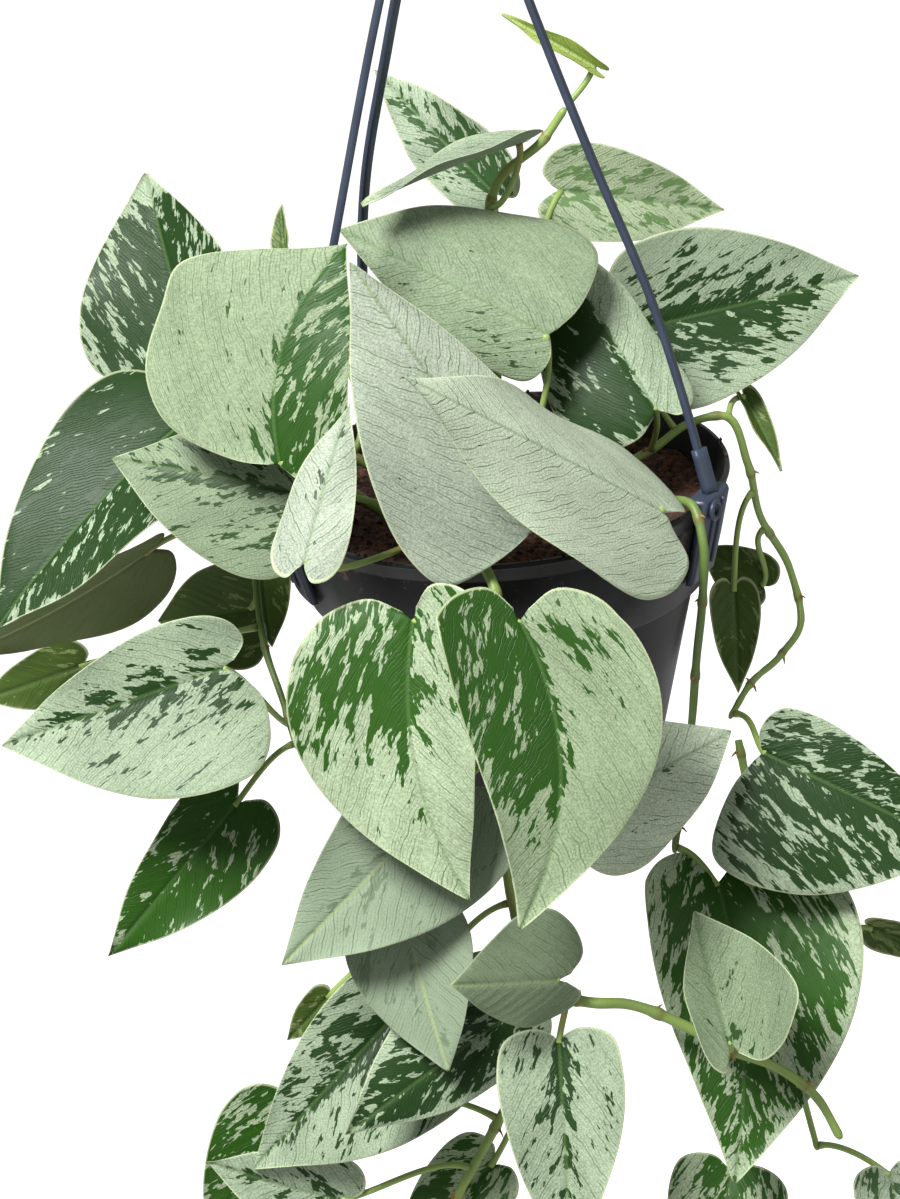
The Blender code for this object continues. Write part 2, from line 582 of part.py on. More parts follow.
def stalk_path(leaf, axis, normal):
    """The stalk's centre line, from just off its vine to the underside of the blade's notch."""
    base = np.array(leaf["base"], float)
    shares = np.array([max(leaf["joint"] - 0.01, 0), leaf["joint"], min(leaf["joint"] + 0.01, 1)])
    before, joint, after = route_points(VINES[leaf["vine"]], shares)
    along_vine = unit(after - before)
    away = base - joint
    if leaf["joint"] < 0.995:
        away = away - away.dot(along_vine) * along_vine
    away = unit(away)
    start = joint + away * (VINE_RADIUS + STALK_RADIUS * 0.5 + JOINT_GAP)
    end = base - normal * BLADE_THICKNESS / 2 + axis * 0.8
    reach = np.linalg.norm(end - start)
    arrive = unit(0.8 * axis + 0.5 * normal + 1.2 * unit(end - start))
    bend = [start, start + away * reach * 0.30, end - arrive * reach * 0.28, end]
    q = np.linspace(0, 1, STALK_STEPS + 1)[:, None]
    return (bend[0] * (1 - q)**3 + 3 * bend[1] * q * (1 - q)**2
            + 3 * bend[2] * q**2 * (1 - q) + bend[3] * q**3)


def make_leaf(leaf, parent):
    """One leaf: a thin blade joined to its stalk, placed where the stalk meets the blade."""
    base = np.array(leaf["base"], float)
    vertices, faces, axis, normal = blade_solid(leaf)
    material = "leaf_green" if leaf["name"] in GREEN_LEAVES else "leaf_silver"
    place = tuple(leaf["base"])
    blade = new_object(leaf["name"], np.array(vertices) - base, faces, material, parent, place)
    path = stalk_path(leaf, axis, normal) - base
    stalk = sweep(path, round_section(lambda i: STALK_RADIUS, STALK_SIDES))
    tool = new_object(leaf["name"] + "_stalk", *stalk, material, parent, place)
    cut(blade, tool, "UNION")


def make_clip(name, bearing, parent):
    """The clip at a strap's end: a curved plate outside the collar, hooked over the rim."""
    low = -CLIP_DROP
    section = [
        (RIM_RADIUS - CLIP_INSIDE, FIT_GAP),
        (collar_radius(0) + FIT_GAP, FIT_GAP),
        (collar_radius(low) + FIT_GAP, low),
        (collar_radius(low) + CLIP_THICKNESS, low),
        (collar_radius(0) + CLIP_THICKNESS, 0.5),
        (collar_radius(0) + CLIP_THICKNESS - 1.5, FIT_GAP + 2.2),
        (RIM_RADIUS - CLIP_INSIDE, FIT_GAP + 2.2),
    ]
    steps = 4
    vertices = []
    for k in range(steps + 1):
        angle = math.radians(bearing) + CLIP_ANGLE * (2 * k / steps - 1)
        vertices += [(r * math.cos(angle), r * math.sin(angle), z) for r, z in section]
    count = len(section)
    faces = [tuple(range(count)), tuple(steps * count + k for k in range(count))[::-1]]
    for i in range(steps):
        for k in range(count):
            n = (k + 1) % count
            faces.append((i * count + n, i * count + k, (i + 1) * count + k, (i + 1) * count + n))
    return new_object(name, vertices, faces, "hanger_slate", parent)


def make_hanger(hook_point, rim):
    """The hanger: a hook on a round hub, and three straps that end in clips on the rim."""
    axis_radius = HOOK_INNER_RADIUS + HOOK_WIRE_RADIUS
    centre = -HOOK_INNER_RADIUS
    arc = [(axis_radius * math.cos(a), 0, centre + axis_radius * math.sin(a))
           for a in (math.radians(d) for d in range(-30, 211, 20))]
    shank = [(-8, 0, centre - 17), (-2, 0, centre - 23), (0, 0, centre - 30),
             (0, 0, -HUB_TOP_BELOW_HOOK - 1)]
    bow = route_points(arc + shank, np.linspace(0, 1, 30))
    tube = sweep(bow, round_section(lambda i: HOOK_WIRE_RADIUS, 8))
    hook = new_object("hanger_hook", *tube, "hanger_slate", hook_point)
    top = -HUB_TOP_BELOW_HOOK
    hub = turned([(0, top - HUB_HEIGHT), (HUB_RADIUS, top - HUB_HEIGHT),
                  (HUB_RADIUS, top - 1.5), (HUB_RADIUS - 1.5, top), (0, top)], 20)
    cut(hook, new_object("hanger_hub", *hub, "hanger_slate", hook_point), "UNION")
    for name, (bearing, route) in ARMS.items():
        clip = make_clip(name, bearing, rim)
        length = np.linalg.norm(np.diff(np.array(route, float), axis=0), axis=1).sum()
        path = route_points(route, np.linspace(0, 1, round(length / 18) + 1))
        a, b = STRAP_WIDTH / 2, STRAP_THICKNESS / 2
        strap = sweep(path, lambda i: [(a, b), (-a, b), (-a, -b), (a, -b)])
        cut(clip, new_object(name + "_strap", *strap, "hanger_slate", rim), "UNION")


def main():
    clear_scene()
    hook_point = bpy.data.objects.new("hook_point", None)
    bpy.context.scene.collection.objects.link(hook_point)
    rim = bpy.data.objects.new("rim_centre", None)
    bpy.context.scene.collection.objects.link(rim)
    rim.parent = hook_point
    rim.location = Vector((0, 0, -RIM_BELOW_HOOK * MM))
    make_pot(rim)
    peat = make_peat(rim)
    make_vines(rim, peat)
    make_hanger(hook_point, rim)
    for leaf in LEAVES:
        make_leaf(leaf, rim)


main()
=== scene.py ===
# %% [markdown]
# # Silver satin pothos in a hanging pot
# This lesson builds the looks of a potted trailing plant around a fixed CAD frame. The frame
# gives the place and size of every leaf, vine, pot and hanger part. Each piece below stands
# for one of those parts, with a finer surface and a finish of its own.

# %% Load the frame
import math

import bmesh
import bpy
import numpy as np
from mathutils import Matrix, Vector


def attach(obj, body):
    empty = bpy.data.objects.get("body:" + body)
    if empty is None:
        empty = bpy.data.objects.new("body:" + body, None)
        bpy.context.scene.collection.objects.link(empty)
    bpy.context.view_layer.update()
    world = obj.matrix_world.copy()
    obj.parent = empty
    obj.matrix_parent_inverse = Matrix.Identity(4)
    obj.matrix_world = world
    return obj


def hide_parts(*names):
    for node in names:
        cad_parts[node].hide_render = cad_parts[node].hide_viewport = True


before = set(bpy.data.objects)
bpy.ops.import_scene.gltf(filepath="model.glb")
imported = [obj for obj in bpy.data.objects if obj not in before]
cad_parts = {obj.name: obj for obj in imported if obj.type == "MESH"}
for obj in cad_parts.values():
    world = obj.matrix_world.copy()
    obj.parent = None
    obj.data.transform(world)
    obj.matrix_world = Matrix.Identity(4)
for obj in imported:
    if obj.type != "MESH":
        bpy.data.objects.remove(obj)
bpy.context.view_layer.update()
print("nodes in the frame:", len(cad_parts))

# %% [markdown]
# Lengths below are in millimetres from the centre of the pot's rim, because that is how a
# grower would measure the plant. The frame's origin is the top of the hanger's hook, 275 mm
# above the rim, so one helper moves every finished shape there and scales it to metres.

# %% Units and places
MM = 0.001
RIM_BELOW_HOOK = 275.0


def to_frame(points):
    """Points in millimetres from the rim centre, moved to the frame's origin, in metres."""
    return (np.asarray(points, float) - (0.0, 0.0, RIM_BELOW_HOOK)) * MM


def srgb(code):
    """A colour like 8fa85a as linear red, green and blue."""
    value = np.array([int(code[k:k + 2], 16) for k in (0, 2, 4)]) / 255.0
    return tuple(np.where(value <= 0.04045, value / 12.92, ((value + 0.055) / 1.055) ** 2.4))


# %% [markdown]
# The plant hangs, so the floor is far below it and only gives a plain pale ground. The room
# is a white surround with one large soft light at the upper left and a weaker one at the
# right, which is how a plant is shown for sale. The camera looks slightly down at the leaves.
# Only the camera sees the floor and the surround this bright. What they throw on the plant
# is weaker, so that the light from the upper left can shape the leaves.

# %% Floor, lights and camera
GROUND_HALF_SIZE = 30.0
GROUND_HEIGHT = -1.5
GROUND_GLOW = 0.8
SURROUND_LIGHT = 0.36
SURROUND_SEEN = 1.1
# Each area light's place, size and target in metres, and its power in watts.
LIGHTS = {
    "key": ((-0.55, -0.70, 1.0), 0.5, (0, 0, -0.3), 45.0),
    "fill": ((1.1, -0.9, 0.1), 1.2, (0, 0, -0.35), 3.0),
}
CAMERA_DISTANCE = 900.0
LOOK_DOWN = math.radians(22.0)
CAMERA_ROLL = math.radians(5.5)
HALF_VIEW = math.radians(12.5)
AIM_BELOW_RIM = 40.7
AIM_LEFT = 20.3


def add_object(name, data):
    """A mesh, light or camera as an object of the scene."""
    thing = bpy.data.objects.new(name, data)
    bpy.context.scene.collection.objects.link(thing)
    return thing


def make_floor():
    """A wide flat sheet: two by two corners of a plane."""
    mesh = bpy.data.meshes.new("floor")
    mesh.from_pydata([(x * GROUND_HALF_SIZE, y * GROUND_HALF_SIZE, GROUND_HEIGHT)
                      for x, y in ((-1, -1), (1, -1), (1, 1), (-1, 1))], [], [(0, 1, 2, 3)])
    floor = add_object("floor", mesh)
    material = bpy.data.materials.new("pale_floor")
    material.use_nodes = True
    tree = material.node_tree
    shader = tree.nodes["Principled BSDF"]
    shader.inputs["Roughness"].default_value = 0.9
    place = tree.nodes.new("ShaderNodeTexCoord")
    grain = tree.nodes.new("ShaderNodeTexNoise")
    grain.inputs["Scale"].default_value = 3.0
    ramp = tree.nodes.new("ShaderNodeMix")
    ramp.data_type = "RGBA"
    ramp.inputs["A"].default_value = (0.93, 0.93, 0.93, 1)
    ramp.inputs["B"].default_value = (0.96, 0.96, 0.96, 1)
    tree.links.new(place.outputs["Object"], grain.inputs["Vector"])
    tree.links.new(grain.outputs["Fac"], ramp.inputs["Factor"])
    tree.links.new(ramp.outputs["Result"], shader.inputs["Base Color"])
    rays = tree.nodes.new("ShaderNodeLightPath")
    tree.links.new(rays.outputs["Is Camera Ray"], shader.inputs["Emission Strength"])
    shader.inputs["Emission Color"].default_value = (GROUND_GLOW, GROUND_GLOW, GROUND_GLOW, 1)
    mesh.materials.append(material)


def make_surround():
    """A white world: one strength for what the camera sees, one for all other rays."""
    world = bpy.data.worlds.new("surround")
    bpy.context.scene.world = world
    world.use_nodes = True
    tree = world.node_tree
    glow = tree.nodes["Background"]
    glow.inputs["Color"].default_value = (1, 1, 1, 1)
    rays = tree.nodes.new("ShaderNodeLightPath")
    strength = tree.nodes.new("ShaderNodeMapRange")
    strength.inputs["To Min"].default_value = SURROUND_LIGHT
    strength.inputs["To Max"].default_value = SURROUND_SEEN
    tree.links.new(rays.outputs["Is Camera Ray"], strength.inputs["Value"])
    tree.links.new(strength.outputs["Result"], glow.inputs["Strength"])


def soft_light(name, place, size, target, power):
    """A square area light at place, aimed at target."""
    data = bpy.data.lights.new(name, "AREA")
    data.size = size
    data.energy = power
    lamp = add_object(name, data)
    lamp.location = place
    aim = Vector(target) - Vector(place)
    lamp.rotation_euler = aim.to_track_quat("-Z", "Y").to_euler()


def make_camera():
    """A long-lens camera in front of the plant, above the rim, aimed a little left and low."""
    toward = np.array([0, -math.cos(LOOK_DOWN), math.sin(LOOK_DOWN)])
    lift = np.array([0, math.sin(LOOK_DOWN), math.cos(LOOK_DOWN)])
    eye = toward * CAMERA_DISTANCE
    aim = lift * -AIM_BELOW_RIM + np.array([-AIM_LEFT, 0, 0])
    forward = (aim - eye) / np.linalg.norm(aim - eye)
    level = np.cross(forward, (0, 0, 1))
    level /= np.linalg.norm(level)
    upright = np.cross(level, forward)
    right = math.cos(CAMERA_ROLL) * level - math.sin(CAMERA_ROLL) * upright
    up = math.cos(CAMERA_ROLL) * upright + math.sin(CAMERA_ROLL) * level
    data = bpy.data.cameras.new("camera")
    data.sensor_width = 36.0
    data.lens = 18.0 / math.tan(HALF_VIEW)
    data.clip_start = 0.01
    camera = add_object("camera", data)
    turn = Matrix([right, up, -forward]).transposed()
    camera.matrix_world = Matrix.Translation(Vector(to_frame(eye))) @ turn.to_4x4()
    bpy.context.scene.camera = camera
    print("camera at", [round(v, 3) for v in camera.location])


make_floor()
for light_name, light in LIGHTS.items():
    soft_light(light_name, *light)
make_surround()
bpy.context.scene.view_settings.view_transform = "Standard"
make_camera()

# %% [markdown]
# Every shape here is a grid of points worked out with numpy. A mesh maker takes the points
# and the faces of one or more such grids, with any values that the finish needs at each
# point, and puts them in one object at the origin that rides on the plant.

# %% Making meshes
def grid_faces(rows, columns, close=False):
    """Corner numbers of a grid's squares; close joins the last column to the first."""
    i, k = np.meshgrid(np.arange(rows - 1), np.arange(columns - (0 if close else 1)),
                       indexing="ij")
    n = (k + 1) % columns
    squares = np.stack([i * columns + k, i * columns + n, (i + 1) * columns + n,
                        (i + 1) * columns + k], axis=-1)
    return squares.reshape(-1, 4)


def join_parts(parts):
    """Stack several (points, faces, slot) parts: one array of points, one list of faces."""
    points, faces, slots, start = [], [], [], 0
    for part_points, part_faces, slot in parts:
        points.append(np.asarray(part_points, float))
        for face in part_faces:
            faces.append(tuple(int(c) + start for c in face))
            slots.append(slot)
        start += len(part_points)
    return np.vstack(points), faces, slots


def make_piece(name, parts, materials, nodes, values=None, colours=None, flat=None):
    """A piece from parts in millimetres: stands for CAD nodes, takes its finish from slot."""
    points, faces, slots = join_parts(parts)
    mesh = bpy.data.meshes.new(name)
    mesh.from_pydata(to_frame(points).tolist(), [], faces)
    for material in materials:
        mesh.materials.append(material)
    mesh.polygons.foreach_set("material_index", np.array(slots, np.int32))
    mesh.polygons.foreach_set("use_smooth", np.ones(len(faces), bool))
    for key, numbers in (values or {}).items():
        layer = mesh.attributes.new(key, "FLOAT", "POINT")
        layer.data.foreach_set("value", np.asarray(numbers, np.float32))
    for key, numbers in (colours or {}).items():
        layer = mesh.attributes.new(key, "FLOAT_COLOR", "POINT")
        rgba = np.ones((len(points), 4), np.float32)
        rgba[:, :3] = numbers
        layer.data.foreach_set("color", rgba.ravel())
    if flat is not None:
        corner = np.empty(len(mesh.loops), np.int32)
        mesh.loops.foreach_get("vertex_index", corner)
        layer = mesh.uv_layers.new(name="flat")
        layer.data.foreach_set("uv", np.asarray(flat, np.float32)[corner].ravel())
    mesh.update()
    piece = add_object(name, mesh)
    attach(piece, "root")
    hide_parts(*nodes)
    return piece


# %% [markdown]
# Curves run through a few chosen points. A cubic through each pair of neighbours, with the
# slope at a point taken from the points on both sides, keeps the line smooth, and a tube is
# that line with a ring of points carried along it.

# %% Curves and tubes
def smooth_curve(x, known_x, known_y):
    """Cubic curve through the known points, with slopes taken from their neighbours."""
    x = np.asarray(x, float)
    slopes = np.gradient(known_y, known_x)
    i = np.clip(np.searchsorted(known_x, x, side="right") - 1, 0, len(known_x) - 2)
    step = known_x[i + 1] - known_x[i]
    q = (x - known_x[i]) / step
    return ((2 * q**3 - 3 * q**2 + 1) * known_y[i]
            + (q**3 - 2 * q**2 + q) * step * slopes[i]
            + (3 * q**2 - 2 * q**3) * known_y[i + 1]
            + (q**3 - q**2) * step * slopes[i + 1])


def route_points(route, shares):
    """Points at the given shares of the smooth line through a route."""
    route = np.array(route, float)
    lengths = np.linalg.norm(np.diff(route, axis=0), axis=1)
    known = np.concatenate([[0.0], np.cumsum(lengths)]) / lengths.sum()
    return np.stack([smooth_curve(shares, known, route[:, k]) for k in range(3)], axis=-1)


def route_length(route):
    """Length of a route along its straight pieces."""
    return np.linalg.norm(np.diff(np.array(route, float), axis=0), axis=1).sum()


def tube(path, section):
    """A closed tube: each row is the path's point plus the section in its own side and up.

    section has one row of (side, up) offsets per path point. Caps close both ends.
    """
    path = np.asarray(path, float)
    tangents = np.gradient(path, axis=0)
    tangents /= np.linalg.norm(tangents, axis=1)[:, None]
    side = np.cross(tangents[0], (0, 0, 1))
    if np.linalg.norm(side) < 0.2:
        side = np.cross(tangents[0], (0, 1, 0))
    sides = np.empty_like(path)
    for i, tangent in enumerate(tangents):
        side = side - tangent * side.dot(tangent)
        side /= np.linalg.norm(side)
        sides[i] = side
    ups = np.cross(sides, tangents)
    rings = (path[:, None] + sides[:, None] * section[..., :1] + ups[:, None] * section[..., 1:])
    rows, columns = section.shape[:2]
    faces = [tuple(f) for f in grid_faces(rows, columns, close=True)]
    faces.append(tuple(range(columns))[::-1])
    faces.append(tuple((rows - 1) * columns + k for k in range(columns)))
    return rings.reshape(-1, 3), faces


def circle(sides):
    """Evenly spaced points on a circle of radius 1: the cosine and sine of each angle."""
    angle = np.arange(sides) * 2 * np.pi / sides
    return np.stack([np.cos(angle), np.sin(angle)], axis=-1)


def round_section(radii, sides):
    """One circle of offsets per radius."""
    return np.asarray(radii, float)[:, None, None] * circle(sides)[None]


def turned(profile, sides):
    """A profile of (radius, height) points turned about the upright axis, poles closed."""
    profile = np.array(profile, float)
    middle = profile[1:-1]
    rings = np.concatenate([middle[:, None, :1] * circle(sides)[None],
                            np.broadcast_to(middle[:, None, 1:], (len(middle), sides, 1))], axis=-1)
    points = np.vstack([rings.reshape(-1, 3), [(0, 0, profile[0, 1])], [(0, 0, profile[-1, 1])]])
    first, last = len(points) - 2, len(points) - 1
    faces = [tuple(f) for f in grid_faces(len(middle), sides, close=True)]
    top = (len(middle) - 1) * sides
    for k in range(sides):
        n = (k + 1) % sides
        faces.append((first, n, k))
        faces.append((last, top + k, top + n))
    return points, faces


def ripple(x, y, z, seed, waves=7, pitch=0.35):
    """A smooth uneven value about zero: a sum of sine waves in seeded directions."""
    rng = np.random.default_rng(seed)
    total = np.zeros(np.broadcast(x, y, z).shape)
    for _ in range(waves):
        a, b, c = rng.normal(size=3) * pitch
        total += np.sin(a * x + b * y + c * z + rng.uniform(0, 6.3))
    return total / waves**0.5


# %% [markdown]
# A silver satin leaf is dark green under a skin that reflects silver in ragged splashes.
# The splashes are longest along the side veins, so the pattern has to follow the blade, not
# the room. Each blade carries a flat map: how far a point is across the midrib and along it.
# The node group bends that map along the side veins and asks a noise where the silver is.
# How much silver a place has is a value kept at each point, so one material serves all leaves.

# %% Node helpers
def link(tree, source, target):
    """Join an output socket to an input socket."""
    tree.links.new(source, target)


def feed(tree, socket, value):
    """Give an input socket a number, a colour or another node's output."""
    if isinstance(value, (int, float)):
        socket.default_value = value
    elif isinstance(value, tuple):
        socket.default_value = (*value, 1)
    else:
        link(tree, value, socket)


def math_node(tree, operation, a, b=None):
    """A Math node; each input is a socket or a number."""
    node = tree.nodes.new("ShaderNodeMath")
    node.operation = operation
    feed(tree, node.inputs[0], a)
    if b is not None:
        feed(tree, node.inputs[1], b)
    return node.outputs[0]


def times(tree, a, b):
    """a times b."""
    return math_node(tree, "MULTIPLY", a, b)


def plus(tree, a, b):
    """a plus b."""
    return math_node(tree, "ADD", a, b)


def minus(tree, a, b):
    """a minus b."""
    return math_node(tree, "SUBTRACT", a, b)


def blend_colour(tree, factor, a, b, mode="MIX"):
    """A Mix node for colours; each input is a socket, a number or a colour."""
    node = tree.nodes.new("ShaderNodeMix")
    node.data_type = "RGBA"
    node.blend_type = mode
    for key, value in (("Factor", factor), ("A", a), ("B", b)):
        feed(tree, [s for s in node.inputs if s.name == key and s.enabled][0], value)
    return [s for s in node.outputs if s.enabled][0]


def step_between(tree, value, low, high):
    """A smooth step from 0 to 1 as value goes from low to high."""
    node = tree.nodes.new("ShaderNodeMapRange")
    node.interpolation_type = "SMOOTHSTEP"
    for key, number in (("Value", value), ("From Min", low), ("From Max", high)):
        feed(tree, node.inputs[key], number)
    return node.outputs["Result"]


def noise_node(tree, vector, scale, detail=2.0, roughness=0.5, distortion=0.0):
    """A Noise Texture read at vector."""
    node = tree.nodes.new("ShaderNodeTexNoise")
    node.inputs["Scale"].default_value = scale
    node.inputs["Detail"].default_value = detail
    node.inputs["Roughness"].default_value = roughness
    node.inputs["Distortion"].default_value = distortion
    link(tree, vector, node.inputs["Vector"])
    return node.outputs["Fac"]


def combine(tree, x, y, z):
    """A Combine XYZ node."""
    node = tree.nodes.new("ShaderNodeCombineXYZ")
    for socket, value in zip(node.inputs, (x, y, z)):
        feed(tree, socket, value)
    return node.outputs[0]


def attribute(tree, key, socket="Fac"):
    """A value or colour kept at each point of the mesh, read by its name."""
    node = tree.nodes.new("ShaderNodeAttribute")
    node.attribute_name = key
    return node.outputs[socket]


def object_place(tree):
    """Where on the object a point is, for a noise that runs through the whole part."""
    return tree.nodes.new("ShaderNodeTexCoord").outputs["Object"]


def new_material(name, roughness):
    """A material with one Principled shader of that roughness."""
    material = bpy.data.materials.new(name)
    material.use_nodes = True
    shader = material.node_tree.nodes["Principled BSDF"]
    shader.inputs["Roughness"].default_value = roughness
    return material, material.node_tree, shader


def bump(tree, shader, height, strength, distance):
    """Feed a height to the shader's normal."""
    node = tree.nodes.new("ShaderNodeBump")
    node.inputs["Strength"].default_value = strength
    node.inputs["Distance"].default_value = distance
    link(tree, height, node.inputs["Height"])
    link(tree, node.outputs["Normal"], shader.inputs["Normal"])


# %% Leaf pattern group
def leaf_pattern_group():
    """Silver splashes, side veins and grain from a blade's flat map.

    across and along are the map. A side vein keeps along minus a rising curve of the
    distance from the midrib the same, so that difference is the number that counts veins.
    """
    group = bpy.data.node_groups.new("leaf_pattern", "ShaderNodeTree")
    for way, keys in (("INPUT", ("Across", "Along", "Seed", "Silver")),
                      ("OUTPUT", ("Splash", "Vein", "Grain", "Cloud"))):
        for key in keys:
            group.interface.new_socket(key, in_out=way, socket_type="NodeSocketFloat")
    entry = group.nodes.new("NodeGroupInput")
    leave = group.nodes.new("NodeGroupOutput")
    across, along = entry.outputs["Across"], entry.outputs["Along"]
    seed, silver = entry.outputs["Seed"], entry.outputs["Silver"]
    reach = math_node(group, "ABSOLUTE", across)
    sweep_near = times(group, reach, 1.15)
    sweep_far = times(group, math_node(group, "POWER", reach, 2.0), 1.6)
    count = minus(group, along, plus(group, sweep_near, sweep_far))
    shift = times(group, seed, 7.3)
    stretched = combine(group, times(group, count, 1.1),
                        times(group, across, 1.5), shift)
    coarse = noise_node(group, stretched, 13.0, 2.5, 0.5, 0.5)
    fine = noise_node(group, stretched, 36.0, 2.0, 0.5, 0.6)
    mixed = plus(group, times(group, coarse, 0.62),
                      times(group, fine, 0.38))
    level = minus(group, 0.66, times(group, silver, 0.32))
    gate = minus(group, mixed, level)
    link(group, step_between(group, gate, -0.008, 0.012), leave.inputs["Splash"])
    wander = noise_node(group, combine(group, across, along, shift), 14.0, 2.0)
    lines = plus(group, times(group, count, 19.0),
                      times(group, wander, 1.1))
    saw = math_node(group, "ABSOLUTE", minus(group, math_node(group, "FRACT", lines), 0.5))
    thin = step_between(group, saw, 0.07, 0.02)
    lines_fine = times(group, lines, 3.0)
    saw_fine = math_node(group, "ABSOLUTE",
                         minus(group, math_node(group, "FRACT", lines_fine), 0.5))
    thread = times(group, step_between(group, saw_fine, 0.14, 0.0), 0.55)
    both = math_node(group, "MAXIMUM", thin, thread)
    fade = step_between(group, noise_node(group, stretched, 12.0, 2.0), 0.30, 0.62)
    link(group, times(group, both, fade), leave.inputs["Vein"])
    speck = noise_node(group, combine(group, across, along, shift), 170.0, 3.0, 0.75)
    link(group, speck, leave.inputs["Grain"])
    cloud = noise_node(group, stretched, 4.0, 2.0)
    link(group, cloud, leave.inputs["Cloud"])
    return group


def leaf_material():
    """Satin leaf skin: green under silver splashes, sunken veins, pale margin, dull underside."""
    material, tree, shader = new_material("satin_leaf", 0.55)
    shader.inputs["Specular IOR Level"].default_value = 0.22
    flat = tree.nodes.new("ShaderNodeUVMap")
    flat.uv_map = "flat"
    split = tree.nodes.new("ShaderNodeSeparateXYZ")
    link(tree, flat.outputs["UV"], split.inputs[0])
    across = minus(tree, split.outputs["X"], 0.5)
    along = split.outputs["Y"]
    pattern = tree.nodes.new("ShaderNodeGroup")
    pattern.node_tree = bpy.data.node_groups["leaf_pattern"]
    for key, value in (("Across", across), ("Along", along), ("Seed", attribute(tree, "leaf_seed")),
                       ("Silver", attribute(tree, "silver"))):
        link(tree, value, pattern.inputs[key])
    splash, vein = pattern.outputs["Splash"], pattern.outputs["Vein"]
    grain, cloud = pattern.outputs["Grain"], pattern.outputs["Cloud"]
    upper, edge = attribute(tree, "upper"), attribute(tree, "edge")
    green_tint = attribute(tree, "green_tint", "Color")
    silver_tint = attribute(tree, "silver_tint", "Color")
    green = blend_colour(tree, cloud, green_tint, (0.5, 0.5, 0.5), "OVERLAY")
    green = blend_colour(tree, times(tree, vein, 0.45), green, (0.02, 0.05, 0.01))
    # Painted sheen: fine specks lighten the silver. They are partly the silver's real grain and
    # partly painted sheen; cloud only varies the tone.
    painted_grain_sheen = step_between(tree, grain, 0.25, 0.75)
    light = plus(tree, times(tree, painted_grain_sheen, 0.75),
                      times(tree, cloud, 0.5))
    light = plus(tree, light, 0.35)
    silver = blend_colour(tree, 1.0, silver_tint, combine(tree, light, light, light),
                          "MULTIPLY")
    silver = blend_colour(tree, times(tree, vein, 0.88), silver,
                          (0.10, 0.16, 0.075))
    skin = blend_colour(tree, splash, green, silver)
    margin = step_between(tree, edge, 0.75, 0.25)
    skin = blend_colour(tree, times(tree, margin, 0.55), skin, srgb("c9d2a8"))
    rib = step_between(tree, math_node(tree, "ABSOLUTE", across), 0.0085, 0.002)
    skin = blend_colour(tree, times(tree, rib, 0.4), skin, (0.09, 0.17, 0.05))
    dull = blend_colour(tree, 0.62, green_tint, silver_tint)
    dull = blend_colour(tree, times(tree, vein, 0.6), dull, (0.10, 0.15, 0.07))
    dull = blend_colour(tree, times(tree, rib, 0.5), dull, srgb("b3bf86"))
    link(tree, blend_colour(tree, upper, dull, skin), shader.inputs["Base Color"])
    rough = plus(tree, times(tree, splash, 0.14),
                      times(tree, grain, 0.16))
    link(tree, plus(tree, rough, 0.36), shader.inputs["Roughness"])
    height = minus(tree, times(tree, grain, 0.22),
                       times(tree, vein, 0.8))
    bump(tree, shader, height, 0.5, 0.0004)
    return material


def stem_material():
    """Living stem: yellow green with long streaks, brown and corky at the nodes."""
    material, tree, shader = new_material("stem_skin", 0.45)
    place = object_place(tree)
    streak = noise_node(tree, place, 160.0, 4.0, 0.65)
    patch = noise_node(tree, place, 40.0, 2.0)
    base = blend_colour(tree, streak, srgb("6f8a3a"), srgb("a3b96a"))
    base = blend_colour(tree, 0.6, base, attribute(tree, "green_tint", "Color"))
    base = blend_colour(tree, step_between(tree, patch, 0.60, 0.75), base, srgb("8b7a3e"))
    base = blend_colour(tree, attribute(tree, "joint_brown"), base, srgb("70502c"))
    link(tree, base, shader.inputs["Base Color"])
    link(tree, plus(tree, times(tree, streak, 0.3), 0.32),
         shader.inputs["Roughness"])
    bump(tree, shader, streak, 0.35, 0.0004)
    return material


def dry_material():
    """Dry sheath and root skin: papery orange brown."""
    material, tree, shader = new_material("dry_skin", 0.75)
    place = object_place(tree)
    fibre = noise_node(tree, place, 300.0, 4.0, 0.7)
    link(tree, blend_colour(tree, fibre, srgb("5b3a1c"), srgb("c08a4c")),
         shader.inputs["Base Color"])
    bump(tree, shader, fibre, 0.5, 0.0005)
    return material


def pot_material():
    """Thin black nursery plastic: soft upright streaks, peat dust near the rim."""
    material, tree, shader = new_material("black_pot_plastic", 0.42)
    shader.inputs["Specular IOR Level"].default_value = 0.28
    place = object_place(tree)
    tall = tree.nodes.new("ShaderNodeMapping")
    tall.inputs["Scale"].default_value = (1.0, 1.0, 0.08)
    link(tree, place, tall.inputs["Vector"])
    streak = noise_node(tree, tall.outputs["Vector"], 140.0, 3.0, 0.6)
    split = tree.nodes.new("ShaderNodeSeparateXYZ")
    link(tree, place, split.inputs[0])
    dust = noise_node(tree, place, 260.0, 3.0, 0.7)
    near_rim = step_between(tree, split.outputs["Z"], -0.305, -0.277)
    dusty = times(tree, step_between(tree, dust, 0.60, 0.68), near_rim)
    base = blend_colour(tree, streak, (0.004, 0.004, 0.005), (0.022, 0.022, 0.024))
    base = blend_colour(tree, times(tree, dusty, 0.7), base, (0.09, 0.05, 0.03))
    link(tree, base, shader.inputs["Base Color"])
    link(tree, plus(tree, times(tree, streak, 0.22), 0.24),
         shader.inputs["Roughness"])
    bump(tree, shader, streak, 0.12, 0.0005)
    return material


def peat_material():
    """Damp peat: red brown fibres and darker hollows."""
    material, tree, shader = new_material("damp_peat", 0.95)
    place = object_place(tree)
    lump = noise_node(tree, place, 420.0, 5.0, 0.7)
    patch = noise_node(tree, place, 70.0, 2.0)
    base = blend_colour(tree, step_between(tree, lump, 0.38, 0.68), srgb("1d120c"), srgb("6b3f26"))
    base = blend_colour(tree, step_between(tree, patch, 0.5, 0.7), base, srgb("3a241a"))
    link(tree, base, shader.inputs["Base Color"])
    bump(tree, shader, lump, 0.9, 0.0012)
    return material


